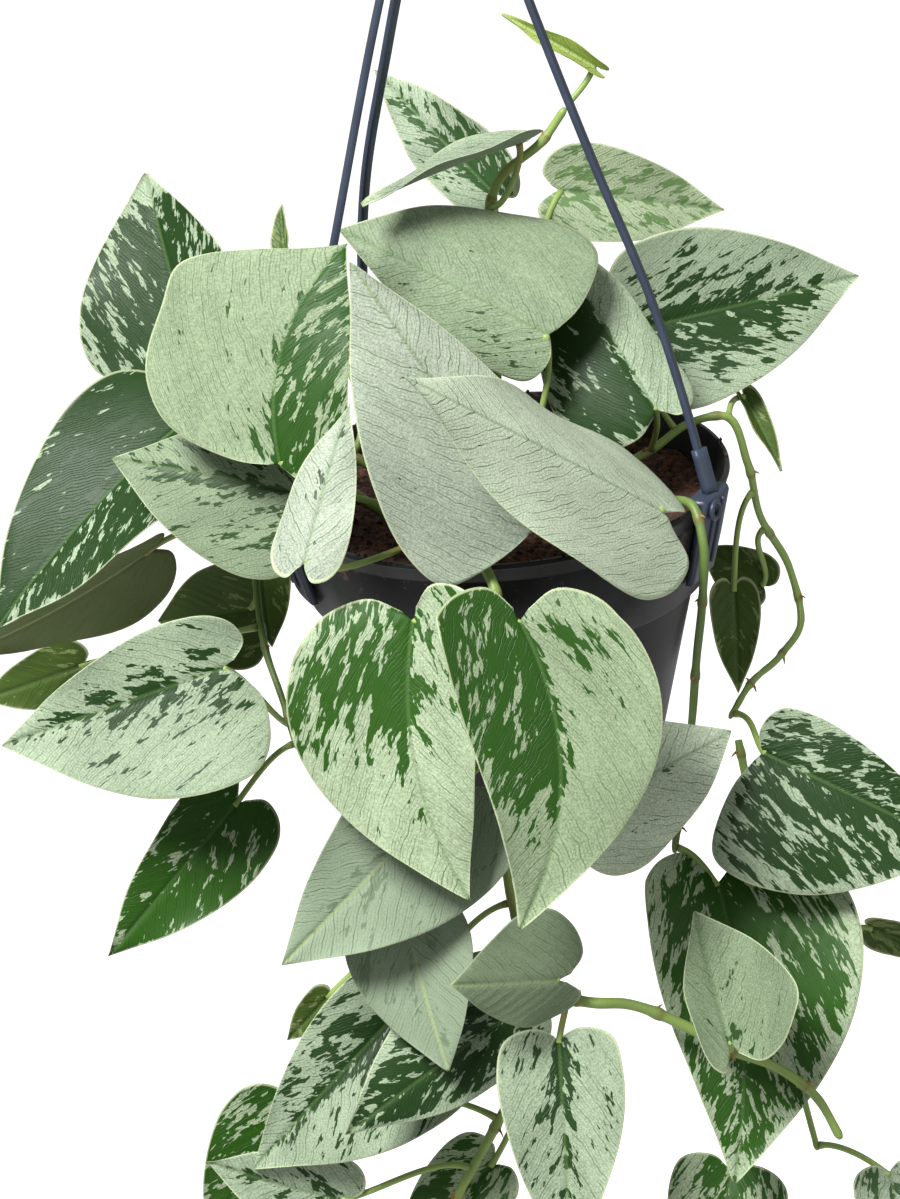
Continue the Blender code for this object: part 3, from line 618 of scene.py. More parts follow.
def slate_material():
    """Dark slate-blue moulded plastic with a faint satin mottle."""
    material, tree, shader = new_material("slate_plastic", 0.4)
    place = object_place(tree)
    mottle = noise_node(tree, place, 90.0, 3.0)
    fine = noise_node(tree, place, 700.0, 2.0)
    link(tree, blend_colour(tree, mottle, srgb("262d3c"), srgb("3c4658")),
         shader.inputs["Base Color"])
    link(tree, plus(tree, times(tree, mottle, 0.2), 0.30),
         shader.inputs["Roughness"])
    bump(tree, shader, fine, 0.12, 0.0002)
    return material


leaf_pattern_group()
LEAF_SKIN = leaf_material()
STEM_SKIN = stem_material()
DRY_SKIN = dry_material()
POT_BLACK = pot_material()
PEAT_BROWN = peat_material()
SLATE = slate_material()
print("finishes:", len(bpy.data.materials))

# %% [markdown]
# The pot is thin moulded plastic: a deep collar, a step in, and a tapering body with drain
# holes in its floor. It could be lofted from circles, but a profile turned about the axis is
# how the mould itself is made. The profile is finer than the frame's: a rolled lip with a
# light line on it, and a soft corner at the base.

# %% Pot
RIM_RADIUS = 76.0
COLLAR_HEIGHT = 35.0
COLLAR_FOOT_RADIUS = 68.0
BODY_TOP_RADIUS = 63.0
BODY_FOOT_RADIUS = 50.0
BASE_RADIUS = 38.0
POT_HEIGHT = 100.0
CORNER_HEIGHT = 7.0
WALL = 1.8
FLOOR = 2.0
DRAIN_HOLES = 5
DRAIN_HOLE_RADIUS = 4.0
DRAIN_RING_RADIUS = 24.0
POT_SIDES = 144


def collar_radius(z):
    """Outer radius of the collar: a straight taper from the rim down to the collar's foot."""
    return RIM_RADIUS + (RIM_RADIUS - COLLAR_FOOT_RADIUS) * z / COLLAR_HEIGHT


def make_pot():
    """The pot's wall turned about its axis, with round holes cut in the floor."""
    bend = np.radians(np.linspace(0, 90, 8))
    corner = np.stack([BASE_RADIUS + (BODY_FOOT_RADIUS - BASE_RADIUS) * np.sin(bend),
                       -POT_HEIGHT + CORNER_HEIGHT * (1 - np.cos(bend))], axis=-1)
    body = [(BODY_TOP_RADIUS, -COLLAR_HEIGHT - 2.5), (BODY_TOP_RADIUS + 0.2, -COLLAR_HEIGHT - 0.6),
            (BODY_TOP_RADIUS + 0.8, -COLLAR_HEIGHT), (COLLAR_FOOT_RADIUS - 0.5, -COLLAR_HEIGHT),
            (COLLAR_FOOT_RADIUS, -COLLAR_HEIGHT + 0.5)]
    lip = [(collar_radius(-7.0), -7.0), (collar_radius(-6.5) - 0.35, -6.5),
           (collar_radius(-5.9) - 0.35, -5.9), (collar_radius(-5.4), -5.4),
           (RIM_RADIUS - 0.5, -2.0), (RIM_RADIUS, -1.3), (RIM_RADIUS - 0.1, -0.5),
           (RIM_RADIUS - 0.5, 0.0)]
    inside = [(RIM_RADIUS - WALL + 0.2, 0.0), (RIM_RADIUS - WALL - 0.2, -1.2),
              (COLLAR_FOOT_RADIUS - WALL, -COLLAR_HEIGHT + WALL),
              (BODY_TOP_RADIUS - WALL, -COLLAR_HEIGHT + WALL),
              (BODY_FOOT_RADIUS - WALL, -POT_HEIGHT + CORNER_HEIGHT + FLOOR),
              (BASE_RADIUS, -POT_HEIGHT + FLOOR)]
    profile = [(0, -POT_HEIGHT), *corner, *body, *lip, *inside, (0, -POT_HEIGHT + FLOOR)]
    points, faces = turned(profile, POT_SIDES)
    pot = make_piece("pot_wall", [(points, faces, 0)], [POT_BLACK], ["pot"])
    builder = bmesh.new()
    for k in range(DRAIN_HOLES):
        bearing = 2 * math.pi * k / DRAIN_HOLES
        spot = (DRAIN_RING_RADIUS * math.cos(bearing), DRAIN_RING_RADIUS * math.sin(bearing),
                -POT_HEIGHT + 1)
        bmesh.ops.create_cone(builder, cap_ends=True, segments=32,
                              radius1=DRAIN_HOLE_RADIUS * MM, radius2=DRAIN_HOLE_RADIUS * MM,
                              depth=6 * MM, matrix=Matrix.Translation(Vector(to_frame(spot))))
    drill_mesh = bpy.data.meshes.new("drain_drill")
    builder.to_mesh(drill_mesh)
    builder.free()
    drill = add_object("drain_drill", drill_mesh)
    cut = pot.modifiers.new("drains", "BOOLEAN")
    cut.solver = "EXACT"
    cut.object = drill
    graph = bpy.context.evaluated_depsgraph_get()
    cut_mesh = bpy.data.meshes.new_from_object(pot.evaluated_get(graph))
    pot.modifiers.remove(cut)
    pot.data = cut_mesh
    pot.data.set_sharp_from_angle(angle=math.radians(40))
    bpy.data.objects.remove(drill)
    return pot


pot = make_pot()
print("pot faces:", len(pot.data.polygons))

# %% [markdown]
# Peat is a heap of fibre crumbs, so its top is uneven at two scales: soft hollows a finger
# wide, and grains a millimetre or two across. The hollows are moves of the turned surface;
# the grains are 1,500 small lumps, each a cube pushed out round and roughened, spread over
# the top, and 70 crumbs lie along the rim, where some always spills.

# %% Peat
PEAT_BELOW_RIM = 12.0
PEAT_SIDE = [(0, -97.6), (BASE_RADIUS - 0.4, -97.6), (47.5, -90.6), (60.5, -33.0),
             (65.5, -32.8)]
TOP_RINGS = 40
GRAINS = 1500
GRAIN_SPREAD = 70.5
CRUMBS = 70


def lump_shape():
    """A small rough ball: a cube with every edge halved, its points moved to a sphere."""
    line = np.array([-1.0, 0.0, 1.0])
    x, y, z = np.meshgrid(line, line, line, indexing="ij")
    points = np.stack([x, y, z], axis=-1).reshape(-1, 3)
    shell = np.abs(points).max(axis=1) > 0.5
    number = np.cumsum(shell) - 1
    faces = []
    for axis in range(3):
        for side in (0, 2):
            for a in (0, 1):
                for b in (0, 1):
                    square = []
                    for u, v in ((a, b), (a + 1, b), (a + 1, b + 1), (a, b + 1)):
                        cell = [u, v]
                        cell.insert(axis, side)
                        square.append(number[cell[0] * 9 + cell[1] * 3 + cell[2]])
                    flip = (side == 0) != (axis == 1)
                    faces.append(square[::-1] if flip else square)
    ball = points[shell]
    return ball / np.linalg.norm(ball, axis=1)[:, None], np.array(faces)


def scatter_lumps(spots, sizes, seed):
    """One part of many rough balls: every ball is the same shape, turned, squashed, moved."""
    rng = np.random.default_rng(seed)
    ball, faces = lump_shape()
    count = len(spots)
    squash = rng.uniform(0.55, 1.35, (count, 1, 3))
    rough = rng.uniform(0.75, 1.2, (count, len(ball), 1))
    turn = rng.uniform(0, 2 * np.pi, count)
    shape = ball[None] * squash * rough * sizes[:, None, None]
    x = shape[..., 0] * np.cos(turn)[:, None] - shape[..., 1] * np.sin(turn)[:, None]
    y = shape[..., 0] * np.sin(turn)[:, None] + shape[..., 1] * np.cos(turn)[:, None]
    points = np.stack([x, y, shape[..., 2]], axis=-1) + spots[:, None]
    numbers = faces[None] + (np.arange(count) * len(ball))[:, None, None]
    return points.reshape(-1, 3), numbers.reshape(-1, 4)


def peat_height(x, y):
    """Height of the peat's top: soft hollows plus finer lumps."""
    return (-PEAT_BELOW_RIM + 0.9 * ripple(x, y, 0 * x, 3, 6, 0.10)
            + 0.55 * ripple(x, y, 0 * x, 4, 9, 0.75))


def make_peat():
    """The peat's block, turned, with an uneven top, and its loose grains."""
    edge = collar_radius(-PEAT_BELOW_RIM) - WALL - 0.7
    top = [(edge * (1 - k / TOP_RINGS), -PEAT_BELOW_RIM) for k in range(TOP_RINGS + 1)]
    points, faces = turned(PEAT_SIDE + top, POT_SIDES)
    upper = points[:, 2] > -PEAT_BELOW_RIM - 0.5
    points[upper, 2] = peat_height(points[upper, 0], points[upper, 1])
    rng = np.random.default_rng(12)
    turn = rng.uniform(0, 2 * np.pi, GRAINS)
    reach = GRAIN_SPREAD * np.sqrt(rng.uniform(0, 1, GRAINS))
    spots = np.stack([reach * np.cos(turn), reach * np.sin(turn)], axis=-1)
    spots = np.column_stack([spots, peat_height(spots[:, 0], spots[:, 1])])
    sizes = rng.uniform(0.35, 1.25, GRAINS) * rng.uniform(0.6, 1.2, GRAINS)
    grains, grain_faces = scatter_lumps(spots, sizes, 13)
    crumbs_turn = rng.uniform(0, 2 * np.pi, CRUMBS)
    radius = RIM_RADIUS - rng.uniform(0.3, 1.6, CRUMBS)
    rim_spots = np.column_stack([radius * np.cos(crumbs_turn), radius * np.sin(crumbs_turn),
                                 rng.uniform(0.1, 0.4, CRUMBS)])
    crumbs, crumb_faces = scatter_lumps(rim_spots, rng.uniform(0.25, 0.7, CRUMBS), 14)
    return make_piece("peat_fill", [(points, faces, 0), (grains, grain_faces, 0),
                                    (crumbs, crumb_faces, 0)], [PEAT_BROWN], ["peat"])


peat = make_peat()
print("peat faces:", len(peat.data.polygons))

# %% [markdown]
# The hanger is one moulding in slate plastic: a wire hook, a round hub, and three flat straps
# that each end in a plate clipped over the rim. Straps and hook are sections carried along a
# path. A plate is a profile, hooked at the top, carried a few degrees round the collar, with
# its ends closed. Each plate carries two upright ridges and a small eyelet near its top.

# %% Hanger
HOOK_INNER_RADIUS = 12.0
HOOK_WIRE_RADIUS = 2.2
HOOK_RINGS = 110
HUB_TOP = RIM_BELOW_HOOK - 45.0
PLATE_DEPTH = 28.0
PLATE_GAP = 0.35
PLATE_HALF_TURN = math.radians(6.4)
PLATE_STEPS = 15
ARMS = {
    "hanger_arm_right": (330, [(4, -2, 221), (12, -5, 190), (21, -7, 157), (26, -10, 141),
                               (37, -16, 107), (52, -24, 63), (60, -31, 31), (66, -38, 1.6)]),
    "hanger_arm_left": (200, [(-4, -1, 221), (-25, -7, 159), (-49, -19, 78), (-72, -26, 1.6)]),
    "hanger_arm_back": (120, [(-1, 4, 221), (-24, 28, 140), (-37, 46, 88), (-41, 56, 58),
                              (-42, 64, 25), (-39, 67.5, 1.8)]),
}


def strap_section(count, width, thickness):
    """A flat oval with square shoulders: both coordinates are roots of a circle's."""
    angle = np.arange(16) * 2 * np.pi / 16
    x = np.sign(np.cos(angle)) * np.abs(np.cos(angle)) ** 0.45 * width / 2
    y = np.sign(np.sin(angle)) * np.abs(np.sin(angle)) ** 0.45 * thickness / 2
    return np.broadcast_to(np.stack([x, y], axis=-1), (count, 16, 2))


def clip_plate(bearing):
    """A plate outside the collar, hooked over the rim: its profile carried round an arc."""
    low, gap = -PLATE_DEPTH, PLATE_GAP
    profile = np.array([
        (RIM_RADIUS - 4.0, gap), (collar_radius(0) + gap, gap), (collar_radius(-14) + gap, -14),
        (collar_radius(low) + gap, low), (collar_radius(low) + 2.6, low),
        (collar_radius(low) + 3.3, low + 0.8), (collar_radius(-14) + 3.4, -14),
        (collar_radius(0) + 3.4, 0.5), (collar_radius(0) + 2.9, 2.0),
        (collar_radius(0) + 1.9, gap + 2.2), (RIM_RADIUS - 3.6, gap + 2.2),
        (RIM_RADIUS - 4.0, gap + 1.7)])
    angle = math.radians(bearing) + PLATE_HALF_TURN * np.linspace(-1, 1, PLATE_STEPS)
    ring = np.stack([profile[None, :, 0] * np.cos(angle)[:, None],
                     profile[None, :, 0] * np.sin(angle)[:, None],
                     np.broadcast_to(profile[None, :, 1], (PLATE_STEPS, len(profile)))], axis=-1)
    faces = [tuple(f)[::-1] for f in grid_faces(PLATE_STEPS, len(profile), close=True)]
    faces.append(tuple(range(len(profile))))
    end = (PLATE_STEPS - 1) * len(profile)
    faces.append(tuple(end + k for k in range(len(profile)))[::-1])
    return ring.reshape(-1, 3), faces


def torus(centre, axis_a, axis_b, radius, wire):
    """A ring in the plane of two axes: a circle of small circles."""
    big, small = circle(32), circle(12)
    a, b = np.asarray(axis_a, float), np.asarray(axis_b, float)
    out = big[:, :1] * a + big[:, 1:] * b
    up = np.cross(a, b)
    points = (np.asarray(centre, float)
              + out[:, None] * (radius + wire * small[:, 0])[None, :, None]
              + up * (wire * small[:, 1])[None, :, None])
    i, k = np.meshgrid(np.arange(32), np.arange(12), indexing="ij")
    j, n = (i + 1) % 32, (k + 1) % 12
    faces = np.stack([i * 12 + k, j * 12 + k, j * 12 + n, i * 12 + n], axis=-1).reshape(-1, 4)
    return points.reshape(-1, 3), faces


def make_hook():
    """The hook's wire along an arc and a shank, and the turned hub under it."""
    ring = HOOK_INNER_RADIUS + HOOK_WIRE_RADIUS
    centre = RIM_BELOW_HOOK - HOOK_INNER_RADIUS
    arc = [(ring * math.cos(a), 0, centre + ring * math.sin(a))
           for a in (math.radians(d) for d in range(-30, 211, 20))]
    shank = [(-8, 0, centre - 17), (-2, 0, centre - 23), (0, 0, centre - 30), (0, 0, HUB_TOP - 1)]
    path = route_points(arc + shank, np.linspace(0, 1, HOOK_RINGS))
    radii = np.full(HOOK_RINGS, HOOK_WIRE_RADIUS)
    radii[:4] = HOOK_WIRE_RADIUS * np.array([0.55, 0.8, 0.93, 1.0])
    wire = tube(path, round_section(radii, 18))
    hub = turned([(0, HUB_TOP - 8), (6.0, HUB_TOP - 8), (6.9, HUB_TOP - 7.2), (7.0, HUB_TOP - 5),
                  (6.6, HUB_TOP - 4.6), (6.6, HUB_TOP - 3.8), (7.0, HUB_TOP - 3.4),
                  (6.9, HUB_TOP - 1.2), (5.6, HUB_TOP - 0.1), (3.2, HUB_TOP), (0, HUB_TOP)], 64)
    make_piece("hook_and_hub", [(*wire, 0), (*hub, 0)], [SLATE], ["hanger_hook"])


def make_arm(name):
    """One strap from hub to rim, its clip plate, and two ridges and an eyelet on the plate."""
    bearing, route = ARMS[name]
    count = max(30, round(route_length(route) / 3))
    path = route_points(route, np.linspace(0, 1, count))
    strap = tube(path, strap_section(count, 3.6, 2.2))
    plate = clip_plate(bearing)
    away = np.array([math.cos(math.radians(bearing)), math.sin(math.radians(bearing)), 0])
    round_rim = np.array([-away[1], away[0], 0])
    down = np.array([0, 0, -1.0])
    parts = [(*strap, 0), (*plate, 0)]
    rib_path = [away * (collar_radius(z) + 3.5) + (0, 0, z) for z in np.linspace(0.4, -23, 16)]
    for offset in (-2.6, 2.6):
        ridge = np.array(rib_path) + round_rim * offset
        parts.append((*tube(ridge, round_section(np.full(16, 0.75), 10)), 0))
    eye = away * (collar_radius(0) + 3.9) - round_rim * 4.4 + (0, 0, -1.5)
    parts.append((*torus(eye, round_rim, down, 2.7, 0.85), 0))
    tie = np.array(path[-6:]) + away * 0.4
    parts.append((*tube(tie, strap_section(6, 5.4, 3.0)), 0))
    make_piece(name + "_strap", parts, [SLATE], [name])


make_hook()
for arm_name in ARMS:
    make_arm(arm_name)
print("hanger parts:", 1 + len(ARMS))

# %% [markdown]
# A vine is a living tube with a swollen node wherever a leaf grows. It could be a plain bent
# pipe, but the nodes, their brown scars and the stubs of air roots are what make it read as
# this plant. The radius swells at each node and the same bell curve drives the brown tint.

# %% Vines
VINE_RADIUS = 2.1
VINES = {
    "vine_top": [(4, 6, -24), (2, 8, -4), (1, 12, 20), (3, 18, 48), (2, 22, 76), (8, 24, 93),
                 (23, 26, 104), (31, 26, 114)],
    "vine_front": [(20, -2, -24), (14, -8, -6), (2, -16, -4), (-9, -32, -4), (-11, -54, 2),
                   (-9, -75, 4), (-5, -84, -3), (-4, -87, -15), (-6, -86, -38), (-8, -88, -66),
                   (-9, -93, -92), (-7, -102, -110), (0, -109, -126)],
    "vine_side": [(5, -114, -133), (15, -117, -134), (25, -116, -136), (42, -118, -144),
                  (56, -119, -154), (71, -118, -163), (83, -120, -174), (90, -124, -188)],
    "vine_low": [(-1, -108, -134), (-4, -103, -150), (-11, -101, -172), (-20, -103, -188),
                 (-29, -106, -202), (-38, -110, -216)],
    "vine_right": [(32, 2, -24), (40, 8, -6), (52, 14, -2), (66, 18, 5), (77, 18, 6),
                   (84, 19, -12), (88, 24, -34), (98, 28, -57), (100, 18, -73), (91, 2, -77),
                   (77, -22, -76), (69, -36, -80)],
    "vine_rim": [(36, -24, -24), (42, -32, -6), (52, -46, 4), (59, -57, 6), (61, -64, -4),
                 (60, -65, -20), (57, -63, -44), (54, -62, -70), (49, -64, -95), (46, -68, -111)],
    "vine_left": [(-30, 14, -24), (-42, 20, -4), (-60, 26, 6), (-74, 31, 6), (-84, 34, -8),
                  (-88, 34, -25), (-88, 25, -42), (-86, 8, -61), (-81, -6, -74), (-77, -18, -87)],
    "vine_left_low": [(-28, -8, -24), (-42, -9, -5), (-58, -10, 5), (-73, -10, 6), (-85, -8, -2),
                      (-90, -5, -14)],
    "vine_far": [(71, -41, -86), (73, -48, -104), (74, -60, -134), (76, -74, -166),
                 (82, -86, -194), (86, -94, -214)],
}
NODE_SPACING = 27.0
VINE_SIDES = 16
# vine_rim's dark green tint is painted shade, for that stem hanging in shadow in front of the pot.
VINE_TINTS_AND_SHADE = {"vine_rim": "35501f", "vine_left": "55743a", "vine_left_low": "62803f"}
VINE_GIRTH = {"vine_right": 0.8, "vine_rim": 0.85, "vine_far": 0.75, "vine_left": 0.8}


def make_vine(name, route):
    """The vine's tube: radius and brown tint are bell curves at evenly spaced nodes."""
    length = route_length(route)
    count = max(12, round(length / 0.9))
    share = np.linspace(0, 1, count)
    path = route_points(route, share)
    phase = (share * length / NODE_SPACING + 0.35) % 1.0 - 0.5
    bell = np.exp(-(phase * NODE_SPACING / 1.7) ** 2)
    ring_scar = np.exp(-((phase * NODE_SPACING - 1.2) / 0.6) ** 2)
    taper = 1.0 - 0.22 * share**2
    radii = ((VINE_RADIUS - 0.35) * VINE_GIRTH.get(name, 1.0) * taper
             * (1 + 0.22 * bell + 0.10 * ring_scar))
    radii += 0.05 * ripple(path[:, 0], path[:, 1], path[:, 2], 5, 5, 0.5)
    radii[-1] *= 0.55
    radii[-2] *= 0.85
    points, faces = tube(path, round_section(radii, VINE_SIDES))
    brown = np.repeat(0.55 * ring_scar + 0.2 * bell, VINE_SIDES)
    parts = [(points, faces, 0)]
    # Each vine's tint; on vine_rim this tint is painted shade.
    tint = np.tile(np.array(srgb(VINE_TINTS_AND_SHADE.get(name, "7f9a4c"))), (len(points), 1))
    rng = np.random.default_rng(len(name) * 7)
    tangents = np.gradient(path, axis=0)
    for row in np.flatnonzero((np.abs(phase[1:-1]) < 0.5 / NODE_SPACING)) + 1:
        along = tangents[row] / np.linalg.norm(tangents[row])
        out = rng.normal(size=3)
        out -= out.dot(along) * along
        out /= np.linalg.norm(out)
        if path[row, 2] < -10 and np.hypot(path[row, 0], path[row, 1]) < 74:
            continue
        reach = rng.uniform(1.6, 3.4)
        q = np.linspace(0, 1, 6)[:, None]
        stub = path[row] + out * (radii[row] * 0.6 + reach * q) + along * q**2 * 1.2
        stub_points, stub_faces = tube(stub, round_section(0.62 * (1 - 0.75 * q[:, 0]), 8))
        parts.append((stub_points, stub_faces, 1))
        brown = np.concatenate([brown, np.ones(len(stub_points))])
        tint = np.vstack([tint, np.tile(np.array(srgb("9a8b5a")), (len(stub_points), 1))])
    make_piece(name + "_stem", parts, [STEM_SKIN, DRY_SKIN], [name],
               values={"joint_brown": brown}, colours={"green_tint": tint})


for vine_name, vine_route in VINES.items():
    make_vine(vine_name, vine_route)
print("vines:", len(VINES))

# %% [markdown]
# A blade is a heart-shaped sheet. Its outline is a short table: how wide and how far along
# the edge is for each share of the way from stalk to tip. The halves fold and curl about the
# midrib and the midrib itself bends. On that smooth sheet the finer shape is added along the
# normal: a groove on the midrib, soft quilting between the side veins, and a slow wave that
# grows towards the margin. A lower sheet closes it into a thin solid.

# %% Blade shape
OUTLINE = np.array([
    (0.00, 0.08, -0.40, 0.00),
    (0.07, 0.30, -1.00, 0.00),
    (0.16, 0.62, -0.85, 0.00),
    (0.27, 0.90, -0.20, 0.02),
    (0.40, 1.00, 0.00, 0.16),
    (0.58, 0.88, 0.00, 0.43),
    (0.75, 0.58, 0.00, 0.68),
    (0.90, 0.22, 0.00, 0.88),
    (1.00, 0.00, 0.00, 1.00),
])
BLADE_ROWS = 60
BLADE_COLUMNS = 45
BLADE_THICKNESS = 0.5


def facing(turn, tilt):
    """Direction turned right of the viewer and tilted up by the given degrees."""
    a, e = math.radians(turn), math.radians(tilt)
    return np.array([math.sin(a) * math.cos(e), -math.cos(a) * math.cos(e), math.sin(e)])


def blade_surface(leaf, s, t):
    """Blade points, and the flat across and along distances of each point, in millimetres.

    s runs from stalk to tip and t from the left edge to the right. The outline gives each
    row's half-width and how far its ends sweep back; the halves fold and curl about the
    midrib, and the midrib bends away from the upper face towards the tip. full widens the
    outer half of a blade, shoulder only its left edge near the tip, and asym the left half.
    """
    base, tip = np.array(leaf["base"], float), np.array(leaf["tip"], float)
    s, t = np.meshgrid(s, t, indexing="ij")
    along = np.linspace(-0.4, 1.0, 281)
    tilt = math.radians(leaf["bend"]) * along
    step = along[1] - along[0]
    rise = np.concatenate([[0], np.cumsum((np.cos(tilt[1:]) + np.cos(tilt[:-1])) / 2 * step)])
    drop = -np.concatenate([[0], np.cumsum((np.sin(tilt[1:]) + np.sin(tilt[:-1])) / 2 * step)])
    start = int(np.argmin(np.abs(along)))
    rise -= rise[start]
    drop -= drop[start]
    length = np.linalg.norm(tip - base) / math.hypot(rise[-1], drop[-1])

    half = leaf["width"] / 2
    edge_x = smooth_curve(s, OUTLINE[:, 0], OUTLINE[:, 1])
    edge_x = edge_x + leaf.get("full", 0) * np.sin(np.pi * s) * s
    shoulder = np.exp(-((s - 0.80) / 0.13) ** 2) * np.clip((1 - s) / 0.1, 0, 1)
    edge_x = edge_x + leaf.get("shoulder", 0) * shoulder * (t < 0)
    sweep_back = OUTLINE[:, 2] * leaf.get("lobe", 0.10) + OUTLINE[:, 3]
    edge_y = smooth_curve(s, OUTLINE[:, 0], sweep_back)
    root = s**1.15
    out = np.abs(t)
    y = root + (edge_y - root) * out**1.25
    uneven = leaf.get("asym", 0)
    x = out * edge_x * half * np.where(t < 0, 1 + uneven, 1 - uneven)

    fold = np.where(t < 0, leaf["left"][0], leaf["right"][0])
    curl = np.where(t < 0, leaf["left"][1], leaf["right"][1])
    fold = np.radians(fold) * np.clip(1.25 - 0.5 * np.clip(y, 0, 1), 0, 1.25)
    curl = np.where(curl == 0, 0.01, np.radians(curl))
    arc = x / half * curl
    across = half / curl * (np.sin(fold + arc) - np.sin(fold))
    lift = half / curl * (np.cos(fold) - np.cos(fold + arc))
    inner = np.clip(y, 0, 1)
    across = np.sign(t) * across + leaf.get("sway", 0) * length * 4 * inner * (1 - inner)

    angle = np.interp(y, along, tilt)
    forward = np.interp(y, along, rise) * length + np.sin(angle) * lift
    lifted = np.interp(y, along, drop) * length + np.cos(angle) * lift
    chord = math.atan2(drop[-1], rise[-1])
    forward, lifted = (forward * math.cos(chord) + lifted * math.sin(chord),
                       lifted * math.cos(chord) - forward * math.sin(chord))
    axis = (tip - base) / np.linalg.norm(tip - base)
    face = facing(*leaf["face"])
    normal = face - face.dot(axis) * axis
    normal /= np.linalg.norm(normal)
    right = np.cross(axis, normal)
    points = (base + across[..., None] * right + forward[..., None] * axis
              + lifted[..., None] * normal)
    return points, np.sign(t) * x, y * length, axis, normal


def blade_detail(x, y, t, length, seed):
    """Height above the smooth blade: a midrib groove, vein quilting and a margin wave."""
    reach = np.abs(x)
    vein_count = y - 1.15 * reach - 0.016 * reach**2
    quilt = np.cos(2 * np.pi * vein_count / 5.3 + 0.6 * np.sin(seed + y * 0.13))
    quilt = quilt * np.clip(reach / 6, 0, 1) * np.clip(1.15 - np.abs(t), 0, 1)
    groove = -0.45 * np.exp(-(x / 0.9) ** 2)
    wave = 0.017 * length * np.abs(t) ** 3 * np.sin(2 * np.pi * (1.6 * y / length)
                                                    + seed * 1.7 + 1.3 * np.sign(x))
    return groove + 0.2 * quilt + wave


def smooth_step(x, low, high):
    """0 below low, 1 above high, smooth between."""
    q = np.clip((x - low) / (high - low), 0, 1)
    return q * q * (3 - 2 * q)


# %% [markdown]
# Where a leaf is silver and where it stays green differs from leaf to leaf, and even from one
# half to the other. So each leaf's row gives the silver share of its left and right half, the
# green band on the midrib, what changes towards tip and margin, and a few patches of its own.

# %% Silver map
# shade is a darker tint. On crown_silver it is painted shadow, cast by the leaf above it.
TONES = {
    "deep": ("1f3a15", "93a388"),
    "vivid": ("28500f", "9bab8b"),
    "silver": ("33502a", "97a68d"),
    "grey": ("3a4a34", "9ba593"),
    "olive": ("455a22", "76844f"),
    "pale": ("64804f", "9fae8c"),
    "lime": ("86a03c", "a9bb66"),
    "satin": ("24490e", "869676"),
    "shade": ("2c4520", "7d8d70"),
    "bright": ("3f5f33", "b3c0a7"),
}


def silver_share(leaf, y, t):
    """Silver at each point, 0 to 1: half's share, midrib band, tip, margin and patches."""
    left, right = leaf["silver"]
    share = left + (right - left) * smooth_step(t, -0.04, 0.04)
    band, width = leaf.get("rib", (0.15, 0.16))
    share = share - band * np.exp(-(t / width) ** 2) * (1 - 0.6 * np.clip(y, 0, 1))
    far = leaf.get("tip_from", 0.7)
    share = share + leaf.get("tip_silver", 0.15) * smooth_step(y, far, far + 0.3)
    share = share + leaf.get("edge_silver", 0.12) * smooth_step(np.abs(t), 0.72, 1.0)
    for side, along, wide, tall, amount in leaf.get("patches", ()):
        share = share + amount * np.exp(-((t - side) / wide) ** 2 - ((y - along) / tall) ** 2)
    return np.clip(share, -0.5, 1.6)


# %% [markdown]
# A stalk leaves its vine, arches over and meets the blade in the notch from below. Four
# control points give such an arch, and the stalk thickens a little at both ends.

# %% Stalk
STALK_RADIUS = 1.15
STALK_SIDES = 12


def stalk_path(leaf, axis, normal):
    """The stalk's centre line: a four-point arch from just off its vine to the blade's notch."""
    base = np.array(leaf["base"], float)
    shares = np.array([max(leaf["joint"] - 0.01, 0), leaf["joint"], min(leaf["joint"] + 0.01, 1)])
    before, joint, after = route_points(VINES[leaf["vine"]], shares)
    along_vine = (after - before) / np.linalg.norm(after - before)
    away = base - joint
    if leaf["joint"] < 0.995:
        away = away - away.dot(along_vine) * along_vine
    away = away / np.linalg.norm(away)
    start = joint + away * (VINE_RADIUS - 1.0)
    end = base - normal * 0.5 + axis * 1.2
    reach = np.linalg.norm(end - start)
    heading = (end - start) / reach
    arrive = 0.8 * axis + 0.5 * normal + 1.2 * heading
    arrive = arrive / np.linalg.norm(arrive)
    bend = [start, start + away * reach * 0.30, end - arrive * reach * 0.28, end]
    q = np.linspace(0, 1, 26)[:, None]
    return (bend[0] * (1 - q)**3 + 3 * bend[1] * q * (1 - q)**2
            + 3 * bend[2] * q**2 * (1 - q) + bend[3] * q**3)


